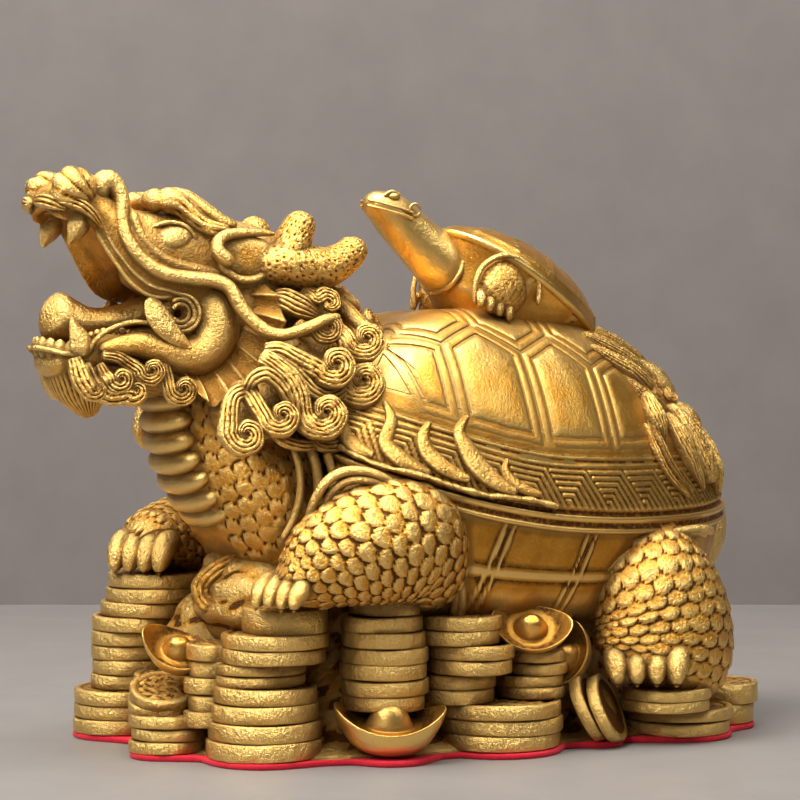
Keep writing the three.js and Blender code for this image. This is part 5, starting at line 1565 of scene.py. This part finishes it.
def makeYoung():
    angle = circle(young["columns"])
    profile, _ = evenly([[r * 20, h, 0] for r, h in young["profile"]], np.linspace(0, 1, young["rows"]))
    r, h = profile[:, :1] / 20, profile[:, 1:2]
    x = r * young["half"] * np.cos(angle) * (1 - 0.06 * np.sin(angle))
    y = r * young["long"] * np.sin(angle) * (1 + 0.05 * np.sin(angle))
    grid = np.stack([x, y, h * np.where(h > 1, 0.86 * (1 + 0.16 * y / young["long"]), 1)], -1)
    # plates on its back: a row of six-sided ones down the middle, seams between them as fine grooves
    pitch = young["pitch"]
    edge = young["middlePlate"] + young["sway"] * np.cos(tau * y / pitch)
    cell = np.abs(np.mod(y / pitch + 0.5, 1) - 0.5) * pitch
    across = np.where(np.abs(x) < edge, np.abs(cell - pitch / 2), cell)
    seam = np.minimum(np.abs(np.abs(x) - edge), across)
    relief = ramp(h, 2.2, 3.2) * 0.32 * channel(seam, 0.9)
    relief = relief + 0.3 * channel(np.abs(r - 0.9) * 20, 0.8) * (h > 0)
    # paired ribs down the flank, as on the big turtle
    for rib in young["ribs"]:
        for side in (-0.8, 0.8):
            relief += 0.4 * channel(y - rib - side, 0.8) * (h < -1.5) * (h > -12)
    grid = raised(grid, relief + 0.08 * wobble(grid, 9.0))
    grid = grid @ turnMatrix(young["tilt"], 0, 0).T + young["middle"]
    makePiece("youngShell", [closedGrid(grid)], "brushedShell")

    def skin(down, angle, grid):  # two creases behind the head
        creases = 0.25 * np.exp(-((down - 14.0) / 0.5) ** 2) + 0.2 * np.exp(-((down - 11.6) / 0.5) ** 2)
        return 0.08 * wobble(grid, 6.0) - creases

    x, y, z = young["ear"]
    radius = young["earRadius"]
    turns = np.radians(np.linspace(0, 340, 12))
    ear = cord([[x, y + radius * math.cos(a), z + radius * math.sin(a)] for a in turns], 0.35, 30)
    mouth, folds = ([cord(*line) for line in young[name]] for name in ("mouth", "folds"))
    side = mouth + [egg(*young["eye"]), cord(*young["lid"]), ear] + folds
    makePiece("youngHead", [limb(young["neck"], 54, 32, cap=0.05, relief=skin)] + bothSides(side),
              "shadedBrass")

    # arms: scaly ovals inside an arched rim, claws at their feet
    scales = lambda ball, grid: fishScales(grid[..., 1] / 1.9, -grid[..., 2] / 1.7, 0.55)
    arms = [egg(*young["arm"], scales), cord(*young["arch"])]
    for i in range(4):
        stations = [[x, y + dy * i, z + dz * i, wide, tall]
                    for (x, y, z, wide, tall), (dy, dz) in zip(young["claw"], young["clawSteps"])]
        arms.append(limb(stations, 22, 12, (0, 1, 0)))
    makePiece("youngLegs", bothSides(arms), "carvedBrass")


makeYoung()
print("small turtle ready")


# Tail: a thick root under the rim, then locks that climb the rear of the shell
tail = {
    "root": [
        [0, 78, 36, 10, 9], [0, 88, 41, 9.5, 8.5], [0, 95, 47, 8, 7.6], [0, 97.4, 54, 6.4, 6.4],
        [0, 94, 62, 5, 5], [0, 88, 70, 4.4, 4.4], [0, 80, 80, 4.2, 4.2], [0, 70, 90, 4, 4],
        [0, 58, 98, 3.6, 3.6]],
    # locks: stations of [x, y, z, half width] and the number of strands
    "locks": [
        ([[16.5, 48, 102.6, 0.8], [17.4, 54, 99.6, 1.8], [17.8, 60, 96.0, 2.4], [18, 65, 92.6, 2.2],
          [18.6, 69.6, 89.0, 1.0]], 5),
        ([[19.8, 48.6, 99.6, 0.7], [21.2, 54.0, 96.2, 1.7], [22.0, 59.4, 92.8, 2.3], [22.2, 64.4, 89.2, 2.0],
          [22.4, 68.2, 86.0, 0.8]], 5),
        ([[22.8, 56.0, 91.8, 0.8], [24.2, 60.4, 87.6, 1.9], [24.8, 64.8, 84.2, 2.2], [24.8, 69.2, 81.6, 1.1]],
         5),
        ([[25.1, 61.4, 87.6, 1.2], [27.2, 62.4, 83.1, 2.7], [28.6, 63.3, 79.2, 2.6], [29.6, 64.6, 74.6, 0.8]],
         6),
        ([[22.6, 70.8, 84.4, 1.2], [24.5, 75.2, 79.6, 3.0], [25.6, 78.6, 74.4, 3.6], [26, 80.6, 68.6, 2.9],
          [25.6, 80.8, 63.6, 0.8]], 7),
        ([[17.4, 82.6, 78.0, 1.2], [21.4, 83.8, 72.6, 2.8], [23.6, 84.2, 66.6, 2.8], [23.3, 86, 60.6, 0.7]],
         6),
        ([[25.6, 67.8, 82.6, 0.8], [27.6, 69.6, 77.6, 2.2], [28.8, 71.8, 72.4, 2.5], [29.0, 75.0, 66.6, 1.8],
          [28.0, 78.4, 62.0, 0.6]], 5),
        ([[8.0, 50, 104.4, 1.2], [9.0, 58.5, 101.4, 2.6], [8.4, 68.0, 96.0, 3.0], [7.0, 76.4, 90.0, 2.6],
          [9.0, 81.6, 85.6, 0.6]], 6),
        ([[6.0, 83.0, 82.0, 1.6], [10.0, 87.0, 76.0, 3.2], [13.6, 89.8, 69.6, 3.0], [14.6, 92.4, 62.4, 0.7]],
         6),
        ([[28.6, 60.8, 82.4, 0.5], [31.0, 62.8, 74.6, 1.1], [31.8, 66.6, 67.4, 1.1], [31.2, 73.2, 61.4, 0.5]],
         2),
        ([[30.4, 58.6, 80.0, 0.4], [33.2, 60.4, 72.4, 0.9], [33.8, 64.4, 65.6, 0.9], [33.4, 70.4, 60.6, 0.5]],
         2),
    ],
    "balls": [[[18.6, 69.4, 89.6], 2.9], [[20.0, 73.4, 86.0], 2.9], [[20.4, 80.0, 79.0], 3.2],
              [[23.2, 66.8, 87.2], 2.5], [[12.0, 73.0, 90.6], 3.0], [[8.0, 80.4, 84.6], 3.2]],
    "masses": [[[8, 70, 86], [11, 12, 10]], [[13, 77, 71], [11, 10, 12]], [[0, 84, 72], [11, 9, 14]],
               [[6, 57, 96], [11, 10, 6]]],
}

def makeTail():
    def comb(ball, grid):
        strands = np.sin(1.3 * (grid[..., 0] - 0.5 * grid[..., 2]) + 1.4 * wobble(grid, 15.0))
        return 0.45 * np.abs(strands) + 0.6 * wobble(grid, 12.0)

    def rootStrands(down, angle, grid):
        return 0.3 * np.abs(np.sin(6 * angle)) + 0.15 * wobble(grid, 7.0)

    root = limb(tail["root"], 40, 30, (0, 1, 0), 0.05, relief=rootStrands)
    masses = [egg(centre, radii, (-35, 0, 0), 20, 32, comb) for centre, radii in tail["masses"]]
    makePiece("tailRoot", [root] + bothSides(masses), "carvedBrass")
    # the locks lie on the shell and face sideways, so that their strands show from the side
    shapes = []
    for path, strands in tail["locks"]:
        path = np.array(path, float)
        level, reach = domeAt(path[:, 0], path[:, 1])
        path[:, 2] = np.where(reach < 0.97, np.minimum(path[:, 2], level + 1.5), path[:, 2])
        outward = unit(0.5 * domeNormal(path[:, 0], np.minimum(path[:, 1], 88.0)) + [0.75, 0.1, 0.1])
        shapes.append(lock(path, strands, 0.9, 0.5, 42, 26, outward))
    for centre, radius in tail["balls"]:
        shapes.append(curl([], centre, radius, 90, (0.85, 0.15, 0.5), 1.6, 4, 1.2, rows=40))
    makePiece("tailLocks", bothSides(shapes), "carvedBrass")


makeTail()


# Felt: the outline is the furthest reach of the lowest coins and the mound in each direction. The foot
# of the mound is a superellipse, and a disc reaches p + sqrt(r^2 - d^2 + p^2), where d is how far its
# middle is and p how far along the direction that lies. Two more discs lie under an ingot and the
# leaning coins.
felt = {
    "middle": (0.0, 14.0), "margin": 0.35, "columns": 300, "more": [(34.0, -16.0, 10.0), (36.0, 41.0, 6.0)],
    # inset and height, from the underside up
    "edge": [
        (6.0, 0.0), (0.35, 0.0), (0.05, 0.2), (0.0, 0.6), (0.0, 0.95), (0.1, 1.25), (0.5, 1.45), (6.0, 1.45)],
}

def makeFelt():
    angle = circle(felt["columns"])
    way = np.stack([np.cos(angle), np.sin(angle)], 1)
    middle = np.array(felt["middle"])
    n = 2 / mound["squareness"]
    long = (mound["back"] - mound["front"]) / 2
    reach = ((np.abs(way[:, 0]) / mound["half"]) ** n + (np.abs(way[:, 1]) / long) ** n) ** (-1 / n)
    ax, ay = heap["shiftWay"]
    discs = list(felt["more"])
    for stack in heap["stacks"]:
        if stack["foot"] < 3:
            radius, shift = stack["coins"][0]
            discs.append((stack["x"] + shift * ax, stack["y"] + shift * ay, radius))
    for x, y, radius in discs:
        offset = np.array([x, y]) - middle
        along = way @ offset
        inside = (radius + felt["margin"]) ** 2 - (offset @ offset - along ** 2)
        reach = np.maximum(reach, np.where(inside > 0, along + np.sqrt(np.maximum(inside, 0)), 0))
    smooth = sum(np.roll(reach, k) for k in (-2, -1, 0, 1, 2)) / 5
    fuzz = 0.06 * np.sin(61 * angle) + 0.05 * np.sin(137 * angle + 1)
    rows = []
    for inset, z in felt["edge"]:
        r = smooth - inset + fuzz * (inset < 1)
        rows.append(np.stack([middle[0] + r * way[:, 0], middle[1] + r * way[:, 1], z + 0 * r], 1))
    makePiece("feltPad", [closedGrid(np.stack(rows))], "redFelt", "felt_pad")


makeFelt()
print("flames, tail and felt ready")


# How far each point lies below its surroundings: the mesh is evened out by moving each point to the
# mean of its neighbours a few times, and the move is measured along the outward direction.
def markHollows(piece):
    mesh = piece.data
    count = len(mesh.vertices)
    points = np.empty(3 * count, np.float32)
    mesh.vertices.foreach_get("co", points)
    points = points.reshape(-1, 3).astype(float) / mm
    normals = np.empty(3 * count, np.float32)
    mesh.vertices.foreach_get("normal", normals)
    normals = normals.reshape(-1, 3)
    edges = np.empty(2 * len(mesh.edges), np.int32)
    mesh.edges.foreach_get("vertices", edges)
    a, b = edges.reshape(-1, 2).T
    degree = np.bincount(a, minlength=count) + np.bincount(b, minlength=count)
    meanEdge = np.median(np.linalg.norm(points[a] - points[b], axis=1))
    rounds = int(np.clip((1.1 / max(meanEdge, 0.05)) ** 2, 2, 14))
    even = points
    for _ in range(rounds):
        total = np.stack([np.bincount(a, even[b, k], count) + np.bincount(b, even[a, k], count)
                          for k in range(3)], 1)
        even = 0.35 * even + 0.65 * total / np.maximum(degree, 1)[:, None]
    depth = np.einsum("ij,ij->i", even - points, normals)
    return points, normals, depth


# A blur of the cells, by a bell curve of a given width along each axis.
def spread(cells, width):
    reach = int(3 * width)
    weights = np.exp(-0.5 * (np.arange(-reach, reach + 1) / width) ** 2)
    weights /= weights.sum()
    for axis in range(3):
        cells = sum(w * np.roll(cells, k, axis) for w, k in zip(weights, range(-reach, reach + 1)))
    return cells


# Value at places between the cells, mixed from the eight cells round each.
def cellsAt(cells, places):
    i = np.floor(places).astype(int)
    f = places - i
    i = np.clip(i, 0, np.array(cells.shape) - 2)
    total = 0
    for corner in np.ndindex(2, 2, 2):
        x, y, z = (i + corner).T
        total = total + np.where(corner, f, 1 - f).prod(1) * cells[x, y, z]
    return total


# Painted shade: metal close in front of a point shades it, and that shade goes into its colour. The
# surface is scattered into 1 mm cells, the cells are blurred, and the blur is read a little way out from
# each point, once near, for crevices, and once further off, for broader shade such as under the belly.
# Each layer is the width of its blur, how far out it is read, where its shade starts and is full, and how
# strong its shade gets at most.
agingAndShade = {"hollowDepth": 0.24, "low": (-70, -125, -14), "cells": (140, 250, 178), "perCell": 3, "fullest": 3.0,
         "shadeLayers": [(1.5, 2.1, 0.12, 0.26, 1.0), (4.0, 6.0, 0.055, 0.16, 0.8)]}

def markPatinaAndShade():
    low = np.array(agingAndShade["low"], float)
    cells = np.zeros(agingAndShade["cells"])
    surfaces = {}
    scatter = np.random.default_rng(5)
    for piece in made:
        surfaces[piece.name] = markHollows(piece)
        mesh = piece.data
        mesh.calc_loop_triangles()
        corners = np.empty(3 * len(mesh.loop_triangles), np.int32)
        mesh.loop_triangles.foreach_get("vertices", corners)
        points = surfaces[piece.name][0]
        a, b, c = (points[corners.reshape(-1, 3)[:, k]] for k in range(3))
        area = 0.5 * np.linalg.norm(np.cross(b - a, c - a), axis=1)
        copies = np.maximum(1, np.ceil(area * agingAndShade["perCell"])).astype(int)
        pick = np.repeat(np.arange(len(area)), copies)
        u, v = scatter.random((2, len(pick)))
        over = u + v > 1
        u, v = np.where(over, 1 - u, u), np.where(over, 1 - v, v)
        spots = a[pick] + (b - a)[pick] * u[:, None] + (c - a)[pick] * v[:, None] - low
        i = np.clip(np.round(spots).astype(int), 0, np.array(cells.shape) - 1)
        np.add.at(cells, (i[:, 0], i[:, 1], i[:, 2]), (area / copies)[pick])
    cells = np.minimum(cells, agingAndShade["fullest"])
    shadeLayers = [(spread(cells, width), *rest) for width, *rest in agingAndShade["shadeLayers"]]
    for piece in made:
        points, normals, depth = surfaces[piece.name]
        hollow = np.clip(0.5 + 0.5 * depth / agingAndShade["hollowDepth"], 0, 1)
        shade = np.zeros(len(points))
        for blurred, out, start, end, darkest in shadeLayers:
            there = cellsAt(blurred, points + normals * out - low)
            shade = np.maximum(shade, darkest * ramp(there, start, end))
        for label, values in (("hollow", hollow), ("shade", shade)):
            attribute = piece.data.attributes.new(label, "FLOAT", "POINT")
            attribute.data.foreach_set("value", values.astype(np.float32))


markPatinaAndShade()
print("patina ready")
